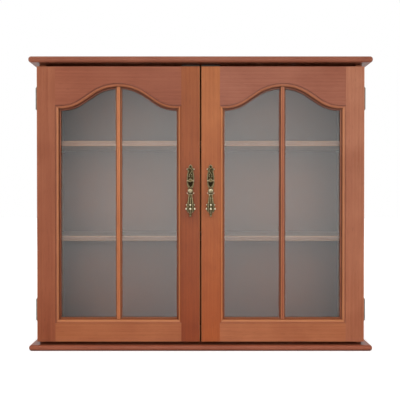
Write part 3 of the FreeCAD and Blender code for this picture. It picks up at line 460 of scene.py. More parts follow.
# %% [markdown]
# The panes are ordinary float glass, three millimetres thick, polished flat by the molten tin that it
# set on. It mirrors about eight percent of what stands in front of it, which veils the dim inside.
# Lamps have to reach the shelves, so rays that only ask for light pass straight through.

# %% Float glass
GLASS_BODY = "#f4faf7"
GLASS_SHADE = "#eef6f2"
GLASS_IOR = 1.5


def float_glass():
    """Clear pane: a sharp faint mirror over what lies behind it, with a breath of green."""
    material, tree = new_material("float_glass")
    pane = add(tree, "ShaderNodeBsdfPrincipled", {
        "Base Color": linear(GLASS_BODY), "Roughness": 0.0, "IOR": GLASS_IOR, "Transmission Weight": 1.0,
    })
    clear = add(tree, "ShaderNodeBsdfTransparent", {"Color": linear(GLASS_SHADE)})
    ray = add(tree, "ShaderNodeLightPath")
    asks_for_light = add(tree, "ShaderNodeMath", {
        0: ray.outputs["Is Shadow Ray"], 1: ray.outputs["Is Diffuse Ray"],
    }, operation="MAXIMUM")
    mixed = add(tree, "ShaderNodeMixShader", {
        0: asks_for_light.outputs[0], 1: pane.outputs[0], 2: clear.outputs[0],
    })
    add(tree, "ShaderNodeOutputMaterial", {"Surface": mixed.outputs[0]})
    return material


glass = float_glass()
for side in SIDES:
    pane = nodes[f"{side}_door_glass"]
    pane.data.materials.clear()
    pane.data.materials.append(glass)
    print(pane.name, "glazed,", round(pane.dimensions.y / MM, 1), "mm thick")

# %% [markdown]
# The small hardware is of a few plain stuffs: bronzed steel for the hinges, zinc-plated steel for
# screws, pins and strikes, brown moulded plastic and ferrite in the catches, beech in the dowels.
# Each has a base colour that varies a little, as plating and moulding do, and its own gloss.
# They differ only in that, so one function serves all of them.

# %% Mottled finish
PATCH_BREAKS = {"Detail": 4.0, "Roughness": 0.6}
PATCH_COLOURS = (0.35, 0.65)
PATCH_GLOSS = (0.3, 0.7)
METAL = 1.0
NOT_METAL = 0.0


def mottled(name, dark, light, patch_size, metallic, roughness):
    """Finish whose colour and gloss wander between two values over patches of a given size."""
    material, tree = new_material(name)
    place = add(tree, "ShaderNodeTexCoord").outputs["Object"]
    patches = add(tree, "ShaderNodeTexNoise", {
        "Vector": place, "Scale": 1 / patch_size, **PATCH_BREAKS,
    }).outputs["Fac"]
    share = add(tree, "ShaderNodeMapRange", {
        "Value": patches, "From Min": PATCH_COLOURS[0], "From Max": PATCH_COLOURS[1],
    }).outputs[0]
    colour = add(tree, "ShaderNodeMix", {
        MIX_SHARE: share, MIX_FIRST: linear(dark), MIX_SECOND: linear(light),
    }, data_type="RGBA").outputs[MIXED]
    gloss = add(tree, "ShaderNodeMapRange", {
        "Value": patches, "From Min": PATCH_GLOSS[0], "From Max": PATCH_GLOSS[1],
        "To Min": roughness[0], "To Max": roughness[1],
    }).outputs[0]
    shader = add(tree, "ShaderNodeBsdfPrincipled", {
        "Base Color": colour, "Metallic": metallic, "Roughness": gloss,
    })
    add(tree, "ShaderNodeOutputMaterial", {"Surface": shader.outputs[0]})
    return material


print("patches turn from dark to light where the noise is", PATCH_COLOURS)

# %% [markdown]
# Every solid came in with the name of its stuff as its only material, so that name picks the finish.
# A row gives the material's name, its dark and light tone, the size of its patches, whether it is a
# metal, and its smoothest and roughest gloss.

# %% Hardware finishes
HARDWARE = {
    # A grey-brown film with soft glints.
    "bronzed_hinge": ("bronzed_steel", "#4f4a43", "#75726b", 3 * MM, METAL, (0.35, 0.5)),
    # Pale grey with small clean glints.
    "steel_fixings": ("zinc_plated_steel", "#9d9a90", "#c0bcb0", 2 * MM, METAL, (0.28, 0.42)),
    # Dark brown with a dull sheen.
    "catch_plastic": ("brown_moulded_plastic", "#33231a", "#41301f", 1.5 * MM, NOT_METAL, (0.42, 0.55)),
    # Sooty grey and matt, as pressed and fired powder is.
    "ferrite": ("ferrite", "#262423", "#383634", 1 * MM, NOT_METAL, (0.6, 0.8)),
    # Pale bare wood.
    "beech_dowel": ("beech", "#b98f62", "#d0a878", 2 * MM, NOT_METAL, (0.55, 0.7)),
    # Brown gold with a soft shine.
    "antique_brass": ("antique_brass", "#5a4a2e", "#a08a5a", 1.5 * MM, METAL, (0.3, 0.45)),
}
finishes = {slot: mottled(*finish) for slot, finish in HARDWARE.items()}
for solid in nodes.values():
    slot = solid.data.materials[0].name if solid.data.materials else ""
    if slot in finishes:
        solid.data.materials.clear()
        solid.data.materials.append(finishes[slot])
print({name: solid.data.materials[0].name for name, solid in nodes.items()})

# %% [markdown]
# The pulls are cast brass. Each drop is a turned baluster with ribs and pearls around it, and each
# backplate is a leaf of fine strands.
# A caster would turn and model a pattern, press it in sand and pour. The same order works here: the
# turned core is a profile spun about the drop's axis, a node tree sets ribs and pearls around it, and
# at the end a voxel remesh melts all of it into one skin, as the pour does.
# All sizes are millimetres from the pin that the drop swings on: X right, Y to the door, Z up.

# %% Strands and profiles
PROFILE_STEPS = 6
# A cubic through even points leans by a sixth of the way between the neighbours of its end.
LEAN_DIVISOR = 6


def strand_curve(name, strands):
    """Smooth curves through a few points each."""
    curve = bpy.data.curves.new(name, "CURVE")
    curve.dimensions = "3D"
    for points in strands:
        spline = curve.splines.new("BEZIER")
        spline.bezier_points.add(len(points) - 1)
        for knot, (x, y, z) in zip(spline.bezier_points, points):
            knot.co = Vector((x, y, z)) * MM
            knot.handle_left_type = "AUTO"
            knot.handle_right_type = "AUTO"
    path = bpy.data.objects.new(name, curve)
    scene.collection.objects.link(path)
    return path


def smooth_profile(points):
    """Even curve through the given points; each stretch is a cubic that leans on its neighbours."""
    knots = [Vector((x, 0, z)) * MM for x, z in points]
    knots = [knots[0]] + knots + [knots[-1]]
    line = []
    for before, start, end, after in zip(knots, knots[1:], knots[2:], knots[3:]):
        lean_out = start + (end - before) / LEAN_DIVISOR
        lean_in = end - (after - start) / LEAN_DIVISOR
        line += interpolate_bezier(start, lean_out, lean_in, end, PROFILE_STEPS + 1)[:-1]
    return line + [knots[-1]]


print("a profile of 2 points becomes", len(smooth_profile([(0, 0), (1, 1)])), "points")

# %% [markdown]
# Three plain forms make the cores: a spun profile, a bead and a round bar. They are left overlapping,
# because the pour joins them. A spun form comes with a seam and its faces may point inwards, so the
# doubles are merged and the normals turned outwards before it becomes a mesh.

# %% Spun cores, beads and bars
SPIN_STEPS = 48
BEAD_DIVISIONS = 3
BAR_SEGMENTS = 32
SEAM_WIDTH = 0.001


def spun(form, points):
    """Spin a profile about Z and close it."""
    corners = [form.verts.new(point) for point in smooth_profile(points)]
    edges = [form.edges.new(pair) for pair in zip(corners, corners[1:])]
    bmesh.ops.spin(
        form, geom=corners + edges, axis=(0, 0, 1), cent=(0, 0, 0), angle=math.tau, steps=SPIN_STEPS,
    )


def bead(form, radius, place):
    """Ball at a place."""
    bmesh.ops.create_icosphere(
        form, subdivisions=BEAD_DIVISIONS, radius=radius * MM,
        matrix=Matrix.Translation(Vector(place) * MM),
    )


def bar(form, radius, start, end):
    """Round bar between two points."""
    start = Vector(start) * MM
    end = Vector(end) * MM
    turn = (end - start).to_track_quat("Z", "Y").to_matrix().to_4x4()
    place = Matrix.Translation((start + end) / 2) @ turn
    bmesh.ops.create_cone(
        form, cap_ends=True, segments=BAR_SEGMENTS, radius1=radius * MM, radius2=radius * MM,
        depth=(end - start).length, matrix=place,
    )


def closed_mesh(form, name):
    """Merge seams, turn the faces outwards and make a mesh."""
    bmesh.ops.remove_doubles(form, verts=form.verts, dist=SEAM_WIDTH * MM)
    bmesh.ops.recalc_face_normals(form, faces=form.faces)
    mesh = bpy.data.meshes.new(name)
    form.to_mesh(mesh)
    form.free()
    return mesh


print("a spun core turns in", SPIN_STEPS, "steps of", math.degrees(math.tau) / SPIN_STEPS, "degrees")

# %% [markdown]
# Ribs and pearls repeat around the drop. Copies on points suit that: each point is turned by its own
# number of steps about the axis, and what is set on it turns along.

# %% Copies around an axis


def around_axis(tree, form, count, first_turn):
    """Copies of a form, turned evenly about Z."""
    points = add(tree, "GeometryNodePoints", {"Count": count}).outputs[0]
    index = add(tree, "GeometryNodeInputIndex").outputs[0]
    step = add(tree, "ShaderNodeMath", {0: math.tau, 1: count}, operation="DIVIDE").outputs[0]
    angle = add(tree, "ShaderNodeMath", {
        0: index, 1: step, 2: first_turn,
    }, operation="MULTIPLY_ADD").outputs[0]
    turn = add(tree, "ShaderNodeCombineXYZ", {"Z": angle}).outputs[0]
    return add(tree, "GeometryNodeInstanceOnPoints", {
        "Points": points, "Instance": form, "Rotation": turn,
    }).outputs[0]


RIBS_OF_A_KIND = 4
print(RIBS_OF_A_KIND, "ribs of a kind stand", math.degrees(math.tau / RIBS_OF_A_KIND), "degrees apart")

# %% [markdown]
# One node tree serves both castings. It sweeps a round section along the strands, sets copies of them
# and of a pearl evenly around the drop's axis, and joins that to the core that it is put on.
# A backplate asks for its strands once, with no pearls.
# The tree ends by making the copies real, because what leaves Blender as a mesh has no copies.

# %% Node tree for what is set around a core
SECTION_POINTS = 12
ORNAMENT_INPUTS = {
    "Core": "NodeSocketGeometry",
    "Strands": "NodeSocketObject",
    "Strand Copies": "NodeSocketInt",
    "First Turn": "NodeSocketFloat",
    "Short Strands": "NodeSocketObject",
    "Strand Radius": "NodeSocketFloat",
    "Pearl Count": "NodeSocketInt",
    "Upper Pearl": "NodeSocketFloat",
    "Upper Ring": "NodeSocketFloat",
    "Upper Height": "NodeSocketFloat",
    "Lower Pearl": "NodeSocketFloat",
    "Lower Ring": "NodeSocketFloat",
    "Lower Height": "NodeSocketFloat",
    "Material": "NodeSocketMaterial",
}


def ornament_tree():
    """Tree that sets strands and pearls around the core it is put on."""
    tree = bpy.data.node_groups.new("ornament_around_core", "GeometryNodeTree")
    for name, kind in ORNAMENT_INPUTS.items():
        tree.interface.new_socket(name, in_out="INPUT", socket_type=kind)
    tree.interface.new_socket("Geometry", in_out="OUTPUT", socket_type="NodeSocketGeometry")
    given = add(tree, "NodeGroupInput").outputs
    section = add(tree, "GeometryNodeCurvePrimitiveCircle", {
        "Resolution": SECTION_POINTS, "Radius": given["Strand Radius"],
    }).outputs[0]
    parts = [given["Core"]]
    for paths, first_turn in (("Strands", given["First Turn"]), ("Short Strands", 0.0)):
        path = add(tree, "GeometryNodeObjectInfo", {"Object": given[paths]}).outputs["Geometry"]
        swept = add(tree, "GeometryNodeCurveToMesh", {
            "Curve": path, "Profile Curve": section, "Fill Caps": True,
        }).outputs[0]
        parts.append(around_axis(tree, swept, given["Strand Copies"], first_turn))
    for row in ("Upper", "Lower"):
        ball = add(tree, "GeometryNodeMeshIcoSphere", {
            "Radius": given[f"{row} Pearl"], "Subdivisions": BEAD_DIVISIONS,
        }).outputs[0]
        place = add(tree, "ShaderNodeCombineXYZ", {
            "Y": given[f"{row} Ring"], "Z": given[f"{row} Height"],
        }).outputs[0]
        pearl = add(tree, "GeometryNodeTransform", {"Geometry": ball, "Translation": place}).outputs[0]
        parts.append(around_axis(tree, pearl, given["Pearl Count"], 0.0))
    joined = add(tree, "GeometryNodeJoinGeometry")
    for part in parts:
        tree.links.new(part, joined.inputs[0])
    solid = add(tree, "GeometryNodeRealizeInstances", {"Geometry": joined.outputs[0]}).outputs[0]
    dressed = add(tree, "GeometryNodeSetMaterial", {
        "Geometry": solid, "Material": given["Material"],
    }).outputs[0]
    add(tree, "NodeGroupOutput", {"Geometry": dressed})
    return tree


ornament = ornament_tree()
print("ornament tree has", len(ornament.nodes), "nodes and", len(ORNAMENT_INPUTS), "inputs")

# %% [markdown]
# Old brass is dark where a cloth never reaches and pale where hands and cloth rub it.
# What is rubbed is what stands proud, so each point of the cast skin is compared with the same point on
# a much smoothed copy: above it is worn, below it is a hollow. That share is kept on the skin as an
# attribute, with painted light added to it. Fingers polish the ball and the pearls besides, and these
# also get a painted highlight. The web of the backplate lies too deep to be rubbed well, and behind the
# fork of the drop it is painted darkest, as painted shade.

# %% Wear and painted light of a skin
WORN_PROUD = 0.25
PROUD_SHARE = 0.5
USUAL_WEAR = 0.5
WEB_WEAR = 0.3
# Painted shade: the web behind the fork is painted darkest.
PAINTED_SHADE_WEAR = 0.0
# Polish with a painted highlight on the ball, and on the pearls below.
FINGER_POLISH_HIGHLIGHT = 0.23
PEARL_HIGHLIGHT = 0.36


def mark_wear_and_light(skin, level_skin, hollow=math.inf, grimy=(0, 0), fingered=(0, 0), pearled=math.inf):
    """Keep on each point how much it is rubbed, with painted highlight and shade added, from 0 to 1.

    What lies further back than hollow is the web, and between the two heights of its painted shade it is
    painted darkest. Fingers polish what lies between two other heights, and what stands further from the
    axis than the pearls' distance, and both also get a painted highlight.
    """
    wear_and_light = skin.attributes.new("wear_and_light", "FLOAT", "POINT")
    for vertex, level, mark in zip(skin.vertices, level_skin.vertices, wear_and_light.data):
        proud = (vertex.co - level.co).dot(vertex.normal) / (WORN_PROUD * MM)
        reached = USUAL_WEAR
        if vertex.co.y > hollow * MM:
            behind = grimy[0] * MM < vertex.co.z < grimy[1] * MM
            reached = PAINTED_SHADE_WEAR if behind else WEB_WEAR
        if fingered[0] * MM < vertex.co.z < fingered[1] * MM:
            reached += FINGER_POLISH_HIGHLIGHT
        if math.hypot(vertex.co.x, vertex.co.y) > pearled * MM:
            reached += PEARL_HIGHLIGHT
        mark.value = min(max(reached + PROUD_SHARE * proud, 0), 1)


print("what stands", WORN_PROUD, "mm proud is rubbed bright")

# %% [markdown]
# Antique brass is darkened with chemicals after casting and then rubbed back. The eye gets nearly black
# hollows, dull olive flanks and pale gold on the high spots, a little uneven from patch to patch.
# The wear of each point, with its painted highlight and shade, picks the colour from a ramp of these
# tones, whose palest, nearly white tone is a painted highlight, and rubbed metal is smoother.

# %% Antique brass
# The palest tone is a painted highlight.
PATINA_AND_HIGHLIGHT = {0.1: "#33291a", 0.35: "#54472f", 0.6: "#60543a", 0.82: "#938663", 0.97: "#f0e5c8"}
BRASS_PATCH = 2.5 * MM
BRASS_BREAKS = {"Detail": 3.0, "Roughness": 0.6}
PATCH_SHARE = 0.3
GLOSS_WEAR = (0.2, 0.9)
BRASS_ROUGHNESS = (0.6, 0.3)


def antique_brass():
    """Cast brass with dark hollows, dull flanks, pale high spots and a painted highlight on ball and
    pearls.
    """
    material, tree = new_material("antique_brass_casting")
    wear_and_light = add(tree, "ShaderNodeAttribute", attribute_name="wear_and_light").outputs["Fac"]
    place = add(tree, "ShaderNodeTexCoord").outputs["Object"]
    patches = add(tree, "ShaderNodeTexNoise", {
        "Vector": place, "Scale": 1 / BRASS_PATCH, **BRASS_BREAKS,
    }).outputs["Fac"]
    uneven = add(tree, "ShaderNodeMath", {
        0: patches, 1: PATCH_SHARE, 2: wear_and_light,
    }, operation="MULTIPLY_ADD").outputs[0]
    rubbed_and_lit = add(tree, "ShaderNodeMath", {
        0: uneven, 1: PATCH_SHARE / 2,
    }, operation="SUBTRACT").outputs[0]
    colour = add(tree, "ShaderNodeValToRGB", {"Fac": rubbed_and_lit})
    set_stops(colour, {position: linear(tone) for position, tone in PATINA_AND_HIGHLIGHT.items()})
    gloss = add(tree, "ShaderNodeMapRange", {
        "Value": rubbed_and_lit, "From Min": GLOSS_WEAR[0], "From Max": GLOSS_WEAR[1],
        "To Min": BRASS_ROUGHNESS[0], "To Max": BRASS_ROUGHNESS[1],
    })
    shader = add(tree, "ShaderNodeBsdfPrincipled", {
        "Base Color": colour.outputs[0], "Metallic": METAL, "Roughness": gloss.outputs[0],
    })
    add(tree, "ShaderNodeOutputMaterial", {"Surface": shader.outputs[0]})
    return material


worn_lit_brass = antique_brass()
print(worn_lit_brass.name, "has", len(PATINA_AND_HIGHLIGHT), "tones")

# %% [markdown]
# The pour puts the ornament on a core, melts both into one skin and marks its wear.
# The remesh takes long on a large form, so a casting that came out too large, as one with a wrong
# unit would, stops the script.

# %% Pour
VOXEL = 0.3
LARGEST_CASTING = 150
EASE_STEPS = 2
LEVEL_STEPS = 40


def evaluated_mesh(piece):
    """Plain mesh of an object with its modifiers."""
    graph = bpy.context.evaluated_depsgraph_get()
    return bpy.data.meshes.new_from_object(piece.evaluated_get(graph))


def cast(name, core, settings, pivot, **wear_and_light_places):
    """Set the ornament around a core, melt it into one skin at the pivot, and mark its wear with painted
    highlight and shade.
    """
    blank = bpy.data.objects.new(name + "_blank", core)
    scene.collection.objects.link(blank)
    setting = blank.modifiers.new("ornament", "NODES")
    setting.node_group = ornament
    for item in ornament.interface.items_tree:
        if item.in_out == "INPUT" and item.name in settings:
            setting[item.identifier] = settings[item.name]
    blank.data = evaluated_mesh(blank)
    blank.modifiers.clear()
    if max(blank.dimensions) > LARGEST_CASTING * MM:
        raise RuntimeError(f"{name} is too large to melt: {tuple(blank.dimensions)}")
    melt = blank.modifiers.new("melt", "REMESH")
    melt.mode = "VOXEL"
    melt.voxel_size = VOXEL * MM
    ease = blank.modifiers.new("ease", "SMOOTH")
    ease.iterations = EASE_STEPS
    skin = evaluated_mesh(blank)
    ease.iterations = LEVEL_STEPS
    mark_wear_and_light(skin, evaluated_mesh(blank), **wear_and_light_places)
    skin.transform(Matrix.Translation(pivot))
    skin.polygons.foreach_set("use_smooth", [True] * len(skin.polygons))
    skin.materials.clear()
    skin.materials.append(worn_lit_brass)
    bpy.data.objects.remove(blank)
    piece = bpy.data.objects.new(name, skin)
    scene.collection.objects.link(piece)
    return piece


pivots = {joint["child"]: Vector(joint["pos_m"]) for joint in frame["joints"]}
print("castings hang at", {side: tuple(pivots[f"{side}_drop"]) for side in SIDES})

# %% [markdown]
# The drop hangs from a fork. Below the fork come a ball, a collar with two small leaves, a slender
# ribbed neck that flares to a bell, two rows of four pearls, a cup and a small tip.
# The long ribs start at the collar, and the short ones lie between them and carry the pearls.
# The profile is a half section, distance from the axis and height; the other lines are in all three.

# %% Lines of the drop
CORE_PROFILE = [
    (0, -13.7), (4.2, -15.2), (5.6, -18.8), (4.4, -22.4), (2.9, -24), (3.6, -25), (3.1, -26.2),
    (3.1, -31), (3.6, -38), (4.4, -45), (5.0, -52), (5.4, -56), (5.0, -58), (3.0, -59.2),
    (3.3, -60.8), (2.6, -62.8), (1.7, -63.9), (2.3, -65.4), (1.6, -67.3), (0, -68),
]
LONG_RIB = [
    (0, 3.5, -25), (0, 3.9, -30), (0, 4.7, -38), (0, 5.7, -46), (0, 6.2, -52.5), (0, 5.8, -56.5),
    (0, 4.2, -59),
]
SHORT_RIB = [
    (0, 3.4, -32), (0, 4.5, -39), (0, 5.8, -45.5), (0, 6.5, -53), (0, 5.6, -57.4), (0, 3.9, -59.2),
]
COLLAR_LEAF = [(2.4, 0, -25.5), (4.6, 0, -24.6), (6.3, 0, -22.9)]
FORK_ARM = [(5.3, 0, 1.2), (5.7, 0, -3), (5.2, 0, -8), (3.6, 0, -12.2), (2.4, 0, -15.5)]
widest = max(reach for reach, height in CORE_PROFILE)
print("the turned core is", 2 * widest, "mm wide and ends", -CORE_PROFILE[-1][1], "mm below the pin")

# %% [markdown]
# The core of the drop is the spun baluster, a fork of two bent arms, the eyes that the pin goes
# through, and the leaves of the collar. A bead at each bend rounds the joints of the bars.

# %% Core of the drop
ARM_RADIUS = 1.3
LEAF_RADIUS = 0.8
EYE = {"radius": 2.6, "inner": 3.9, "outer": 6.5}


def drop_core(name):
    """Baluster with its fork, the eyes of the pin and the collar's leaves."""
    form = bmesh.new()
    spun(form, CORE_PROFILE)
    for half in (-1, 1):
        bar(form, EYE["radius"], (half * EYE["inner"], 0, 0), (half * EYE["outer"], 0, 0))
        for radius, line in ((ARM_RADIUS, FORK_ARM), (LEAF_RADIUS, COLLAR_LEAF)):
            arm = [Vector((half * x, y, z)) for x, y, z in line]
            for start, end in zip(arm, arm[1:]):
                bar(form, radius, start, end)
                bead(form, radius, end)
    return closed_mesh(form, name)


print("the eyes are", 2 * EYE["radius"], "mm round and stand", 2 * EYE["inner"], "mm apart")

# %% [markdown]
# Now the drops can be poured. Each casting takes the place of the plain solid, which is hidden, and
# rides on the same body.

# %% Drops
RIB_RADIUS = 0.95
UPPER_PEARL = {"radius": 1.8, "ring": 6.7, "height": -45.2}
LOWER_PEARL = {"radius": 2.2, "ring": 7.4, "height": -52.8}
BALL_HEIGHTS = (-22.6, -14.5)
PEARL_FROM = 7.5

drop_settings = {
    "Strands": strand_curve("long_rib", [LONG_RIB]),
    "Short Strands": strand_curve("short_rib", [SHORT_RIB]),
    "Strand Copies": RIBS_OF_A_KIND,
    "First Turn": math.tau / RIBS_OF_A_KIND / 2,
    "Strand Radius": RIB_RADIUS * MM,
    "Pearl Count": RIBS_OF_A_KIND,
    "Material": worn_lit_brass,
}
for row, pearl in (("Upper", UPPER_PEARL), ("Lower", LOWER_PEARL)):
    drop_settings[f"{row} Pearl"] = pearl["radius"] * MM
    drop_settings[f"{row} Ring"] = pearl["ring"] * MM
    drop_settings[f"{row} Height"] = pearl["height"] * MM
for side in SIDES:
    drop = cast(
        f"{side}_drop_casting", drop_core("drop_core"), drop_settings, pivots[f"{side}_drop"],
        fingered=BALL_HEIGHTS, pearled=PEARL_FROM,
    )
    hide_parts(f"{side}_pull_drop")
    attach(drop, f"{side}_drop")
    print(drop.name, len(drop.data.polygons), "faces")

# %% [markdown]
# The backplate is a leaf: two strands edge it and sweep up to small balls, a scroll slants across its
# middle and a ring closes its head. A thin web that stays dark fills the gaps between the strands.
# The post stands in it, with a rolled rim round its end. The two plates are a pair, so the scroll slants
# the other way on the right. The strands lie flat before the web, so their lines are only across and up.

# %% Lines of the leaf
STANDOFF = 12.5
STRAND_PROUD = 1.2
STRAND_Y = STANDOFF - STRAND_PROUD
BORDER = [(0, -12.8), (3.9, -8), (5.8, 0), (6.0, 8), (4.9, 15), (4.2, 19), (5.7, 22.3)]
CROWN = [(4.4, 19), (4.2, 23.4), (2.7, 25.4), (2.3, 28.2), (0, 30.3)]
SCROLL = [(-2.6, 8.2), (-2.2, 11.5), (0.4, 15.4), (2.4, 19.4), (1.0, 23.2), (-2.2, 24.6)]
BUD = [(2.7, 7.6), (2.9, 10.6), (1.7, 13)]
RIM = {"radius": 2.2, "front": -1.0, "height": 0.8, "knots": 12}


def plate_strands(slant):
    """Border and crown on both halves, and the scroll and bud on the half that the slant says."""
    strands = []
    for half in (-1, 1):
        strands += [[(half * x, STRAND_Y, z) for x, z in line] for line in (BORDER, CROWN)]
    for line in (SCROLL, BUD):
        strands.append([(slant * x, STRAND_Y, z) for x, z in line])
    return strands


def post_rim():
    """Ring round the end of the post."""
    ring = []
    for knot in range(RIM["knots"] + 1):
        turn = knot * math.tau / RIM["knots"]
        across = RIM["radius"] * math.cos(turn)
        up = RIM["radius"] * math.sin(turn) + RIM["height"]
        ring.append((across, RIM["front"], up))
    return ring


print("a leaf has", len(plate_strands(1)), "strands")

# %% [markdown]
# The core of the backplate is the web, a thin plate in the leaf's outline, with a ball at the end of
# each border and the post that carries the pin. The outline is drawn for one half and mirrored.

# %% Core of the backplate
WEB_THICK = 1.1
WEB_EDGE = [
    (0, -12.5), (3.9, -7), (5.6, 1), (5.7, 8), (4.6, 15), (3.8, 20.5), (3.2, 24.5), (1.8, 27.5), (0, 29),
]
END_BALL = {"radius": 1.5, "side": 6.1, "height": 22.4, "proud": 0.3}
POST = {"radius": 2.9, "front": -0.6}


def plate_core(name):
    """Web of the leaf with its two balls and the post."""
    form = bmesh.new()
    right = smooth_profile(WEB_EDGE)
    outline = right + [Vector((-point.x, 0, point.z)) for point in reversed(right[1:-1])]
    forward = Vector((0, STANDOFF - WEB_THICK, 0)) * MM
    web = form.faces.new([form.verts.new(point + forward) for point in outline])
    thick = bmesh.ops.extrude_face_region(form, geom=[web])
    moved = [item for item in thick["geom"] if isinstance(item, bmesh.types.BMVert)]
    bmesh.ops.translate(form, verts=moved, vec=Vector((0, WEB_THICK, 0)) * MM)
    for half in (-1, 1):
        bead(form, END_BALL["radius"], (
            half * END_BALL["side"], STRAND_Y - END_BALL["proud"], END_BALL["height"],
        ))
    bar(form, POST["radius"], (0, STANDOFF, 0), (0, POST["front"], 0))
    return closed_mesh(form, name)


print("the web is", WEB_EDGE[-1][1] - WEB_EDGE[0][1], "mm high and", WEB_THICK, "mm thick")

# %% [markdown]
# The backplates are poured like the drops, but they ride on the doors. Once the castings are made, the
# curves that they followed are no longer needed.

# %% Backplates
STRAND_RADIUS = 0.9
BEHIND_FORK = (-12, -2)
# The tree wants a radius even where it sets no pearl.
UNUSED_PEARL = 1

for side, slant in zip(SIDES, (1, -1)):
    plate_settings = {
        "Strands": strand_curve(f"{side}_leaf_strands", plate_strands(slant)),
        "Short Strands": strand_curve(f"{side}_post_rim", [post_rim()]),
        "Strand Copies": 1,
        "First Turn": 0.0,
        "Strand Radius": STRAND_RADIUS * MM,
        "Pearl Count": 0,
        "Upper Pearl": UNUSED_PEARL * MM,
        "Lower Pearl": UNUSED_PEARL * MM,
        "Material": worn_lit_brass,
    }
    plate = cast(
        f"{side}_backplate_casting", plate_core("plate_core"), plate_settings, pivots[f"{side}_drop"],
        hollow=STRAND_Y, grimy=BEHIND_FORK,
    )
    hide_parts(f"{side}_pull_backplate")
    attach(plate, f"{side}_door")
    print(plate.name, len(plate.data.polygons), "faces")
for path in [item for item in scene.objects if item.type == "CURVE"]:
    bpy.data.objects.remove(path)

# %% [markdown]
# The stage is white: a pale floor, and a world that the camera, mirrors and glass see as white.
# As a lamp that world is weak, so that shadows keep their depth.

# %% White surround
AMBIENT = 0.15
WHITE_LIGHT = (1, 1, 1, 1)

world = bpy.data.worlds.new("white_surround")
world.use_nodes = True
world.node_tree.nodes.clear()
ray = add(world.node_tree, "ShaderNodeLightPath")
strength = add(world.node_tree, "ShaderNodeMapRange", {
    "Value": ray.outputs["Is Diffuse Ray"], "To Min": 1.0, "To Max": AMBIENT,
})
sky = add(world.node_tree, "ShaderNodeBackground", {
    "Color": WHITE_LIGHT, "Strength": strength.outputs[0],
})
add(world.node_tree, "ShaderNodeOutputWorld", {"Surface": sky.outputs[0]})
scene.world = world
print("the surround lights diffuse surfaces at", AMBIENT, "of white")

# %% [markdown]
# The floor is matt white paint. Under the cabinet it keeps the shadow, and further out it is lifted to
# plain white, so that it runs into the surround with no line.
# Glass shows a part of that lift too. The floor is hidden from mirrors, which see the white surround.

# %% Floor
FLOOR_HALF = 6.0
FLOOR_PAINT = "#f4f4f4"
FLOOR_ROUGHNESS = 0.9
FLOOR_GLOSS = 0.1
FLOOR_LIFT = 0.6
LIFT_THROUGH_GLASS = 0.4
SHADOW_REACH = (0.45, 1.0)


def stage_plane(name, half, material):
    """Square sheet about its own origin, kept out of the part."""
    mesh = bpy.data.meshes.new(name)
    corners = [(-half, -half, 0), (half, -half, 0), (half, half, 0), (-half, half, 0)]
    mesh.from_pydata(corners, [], [(0, 1, 2, 3)])
    mesh.materials.append(material)
    plane = bpy.data.objects.new(name, mesh)
    scene.collection.objects.link(plane)
    return plane


def white_floor():
    """Matt white paint, shaded near the cabinet and plain white further out."""
    material, tree = new_material("white_floor")
    ray = add(tree, "ShaderNodeLightPath")
    place = add(tree, "ShaderNodeTexCoord").outputs["Object"]
    away = add(tree, "ShaderNodeVectorMath", {0: place}, operation="LENGTH").outputs["Value"]
    lift = add(tree, "ShaderNodeMapRange", {
        "Value": away, "From Min": SHADOW_REACH[0], "From Max": SHADOW_REACH[1],
        "To Min": FLOOR_LIFT, "To Max": 1.0,
    }).outputs[0]
    seen = add(tree, "ShaderNodeMath", {
        0: ray.outputs["Is Transmission Ray"], 1: LIFT_THROUGH_GLASS, 2: ray.outputs["Is Camera Ray"],
    }, operation="MULTIPLY_ADD").outputs[0]
    glow = add(tree, "ShaderNodeMath", {0: seen, 1: lift}, operation="MULTIPLY").outputs[0]
    shader = add(tree, "ShaderNodeBsdfPrincipled", {
        "Base Color": linear(FLOOR_PAINT), "Roughness": FLOOR_ROUGHNESS,
        "Specular IOR Level": FLOOR_GLOSS, "Emission Color": WHITE_LIGHT, "Emission Strength": glow,
    })
    add(tree, "ShaderNodeOutputMaterial", {"Surface": shader.outputs[0]})
    return material


floor = stage_plane("floor", FLOOR_HALF, white_floor())
floor.visible_glossy = False
print("floor", 2 * FLOOR_HALF, "m square")

# %% [markdown]
# Behind the camera hangs a lit sheet, brightest in its middle. The panes mirror it, which lays the
# soft veil over them that fades towards their edges.

# %% Lit sheet
SHEET_HALF = 2.5
SHEET_PLACE = (0.14, -3.0, 0.14)
SHEET_RADIANCE = 2.5
SHEET_FALL = 1.35


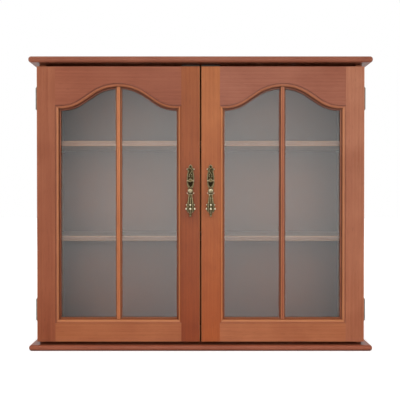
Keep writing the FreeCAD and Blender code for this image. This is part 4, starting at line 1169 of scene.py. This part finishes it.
def lit_sheet():
    """Glow that falls off from its middle, flat at first and then steeply."""
    material, tree = new_material("lit_sheet")
    place = add(tree, "ShaderNodeTexCoord").outputs["Object"]
    spread = add(tree, "ShaderNodeVectorMath", {
        0: place, 1: place,
    }, operation="DOT_PRODUCT").outputs["Value"]
    squared = add(tree, "ShaderNodeMath", {
        0: spread, 1: 1 / SHEET_FALL ** 2,
    }, operation="MULTIPLY").outputs[0]
    fourth = add(tree, "ShaderNodeMath", {0: squared, 1: squared}, operation="MULTIPLY").outputs[0]
    exponent = add(tree, "ShaderNodeMath", {0: fourth, 1: -1.0}, operation="MULTIPLY").outputs[0]
    fall = add(tree, "ShaderNodeMath", {0: math.e, 1: exponent}, operation="POWER").outputs[0]
    radiance = add(tree, "ShaderNodeMath", {0: fall, 1: SHEET_RADIANCE}, operation="MULTIPLY").outputs[0]
    glow = add(tree, "ShaderNodeEmission", {"Strength": radiance})
    add(tree, "ShaderNodeOutputMaterial", {"Surface": glow.outputs[0]})
    return material


sheet = stage_plane("lit_sheet", SHEET_HALF, lit_sheet())
sheet.location = SHEET_PLACE
sheet.rotation_euler = (math.radians(90), 0, 0)
sheet.visible_camera = False
print("lit sheet", round(door_face - SHEET_PLACE[1], 2), "m in front of the doors")

# %% [markdown]
# Two upright soft boxes stand well to the sides and one hangs overhead, as the walls of a light tent
# would. Flat faces turn their mirror image away, and only the round mouldings catch it as a bright line.
# A wide weak box in front evens the doors, and one behind lights the back for views from there.
# Neither of these two is mirrored, because a bright square in the panes would spoil their veil.
# Places and sizes are in metres, and each box faces the middle of the cabinet.

# %% Soft boxes
MIDDLE = (0, 0, 0.28)
SOFT_BOXES = {
    "overhead_box": {"place": (0, -1.5, 1.9), "size": (1.8, 0.8), "radiance": 3.5, "mirrored": True},
    "front_box": {"place": (0, -2.2, 0.75), "size": (2.6, 1.4), "radiance": 0.95, "mirrored": False},
    "left_box": {"place": (-2.0, -1.05, 0.6), "size": (0.7, 1.7), "radiance": 2.5, "mirrored": True},
    "right_box": {"place": (2.0, -1.05, 0.6), "size": (0.7, 1.7), "radiance": 2.5, "mirrored": True},
    "back_box": {"place": (0, 2.4, 1.3), "size": (1.6, 0.8), "radiance": 5, "mirrored": False},
}


def soft_box(name, place, size, radiance, mirrored):
    """Rectangular lamp that faces the cabinet; its power is pi times its area times its radiance."""
    data = bpy.data.lights.new(name, "AREA")
    data.shape = "RECTANGLE"
    data.size = size[0]
    data.size_y = size[1]
    data.energy = math.pi * size[0] * size[1] * radiance
    lamp = bpy.data.objects.new(name, data)
    lamp.location = place
    lamp.rotation_euler = (Vector(MIDDLE) - Vector(place)).to_track_quat("-Z", "Y").to_euler()
    lamp.visible_glossy = mirrored
    lamp.visible_transmission = mirrored
    scene.collection.objects.link(lamp)
    return lamp


for name, box in SOFT_BOXES.items():
    lamp = soft_box(name, **box)
    print(name, round(lamp.data.energy, 1), "W")
scene.view_settings.view_transform = "Standard"
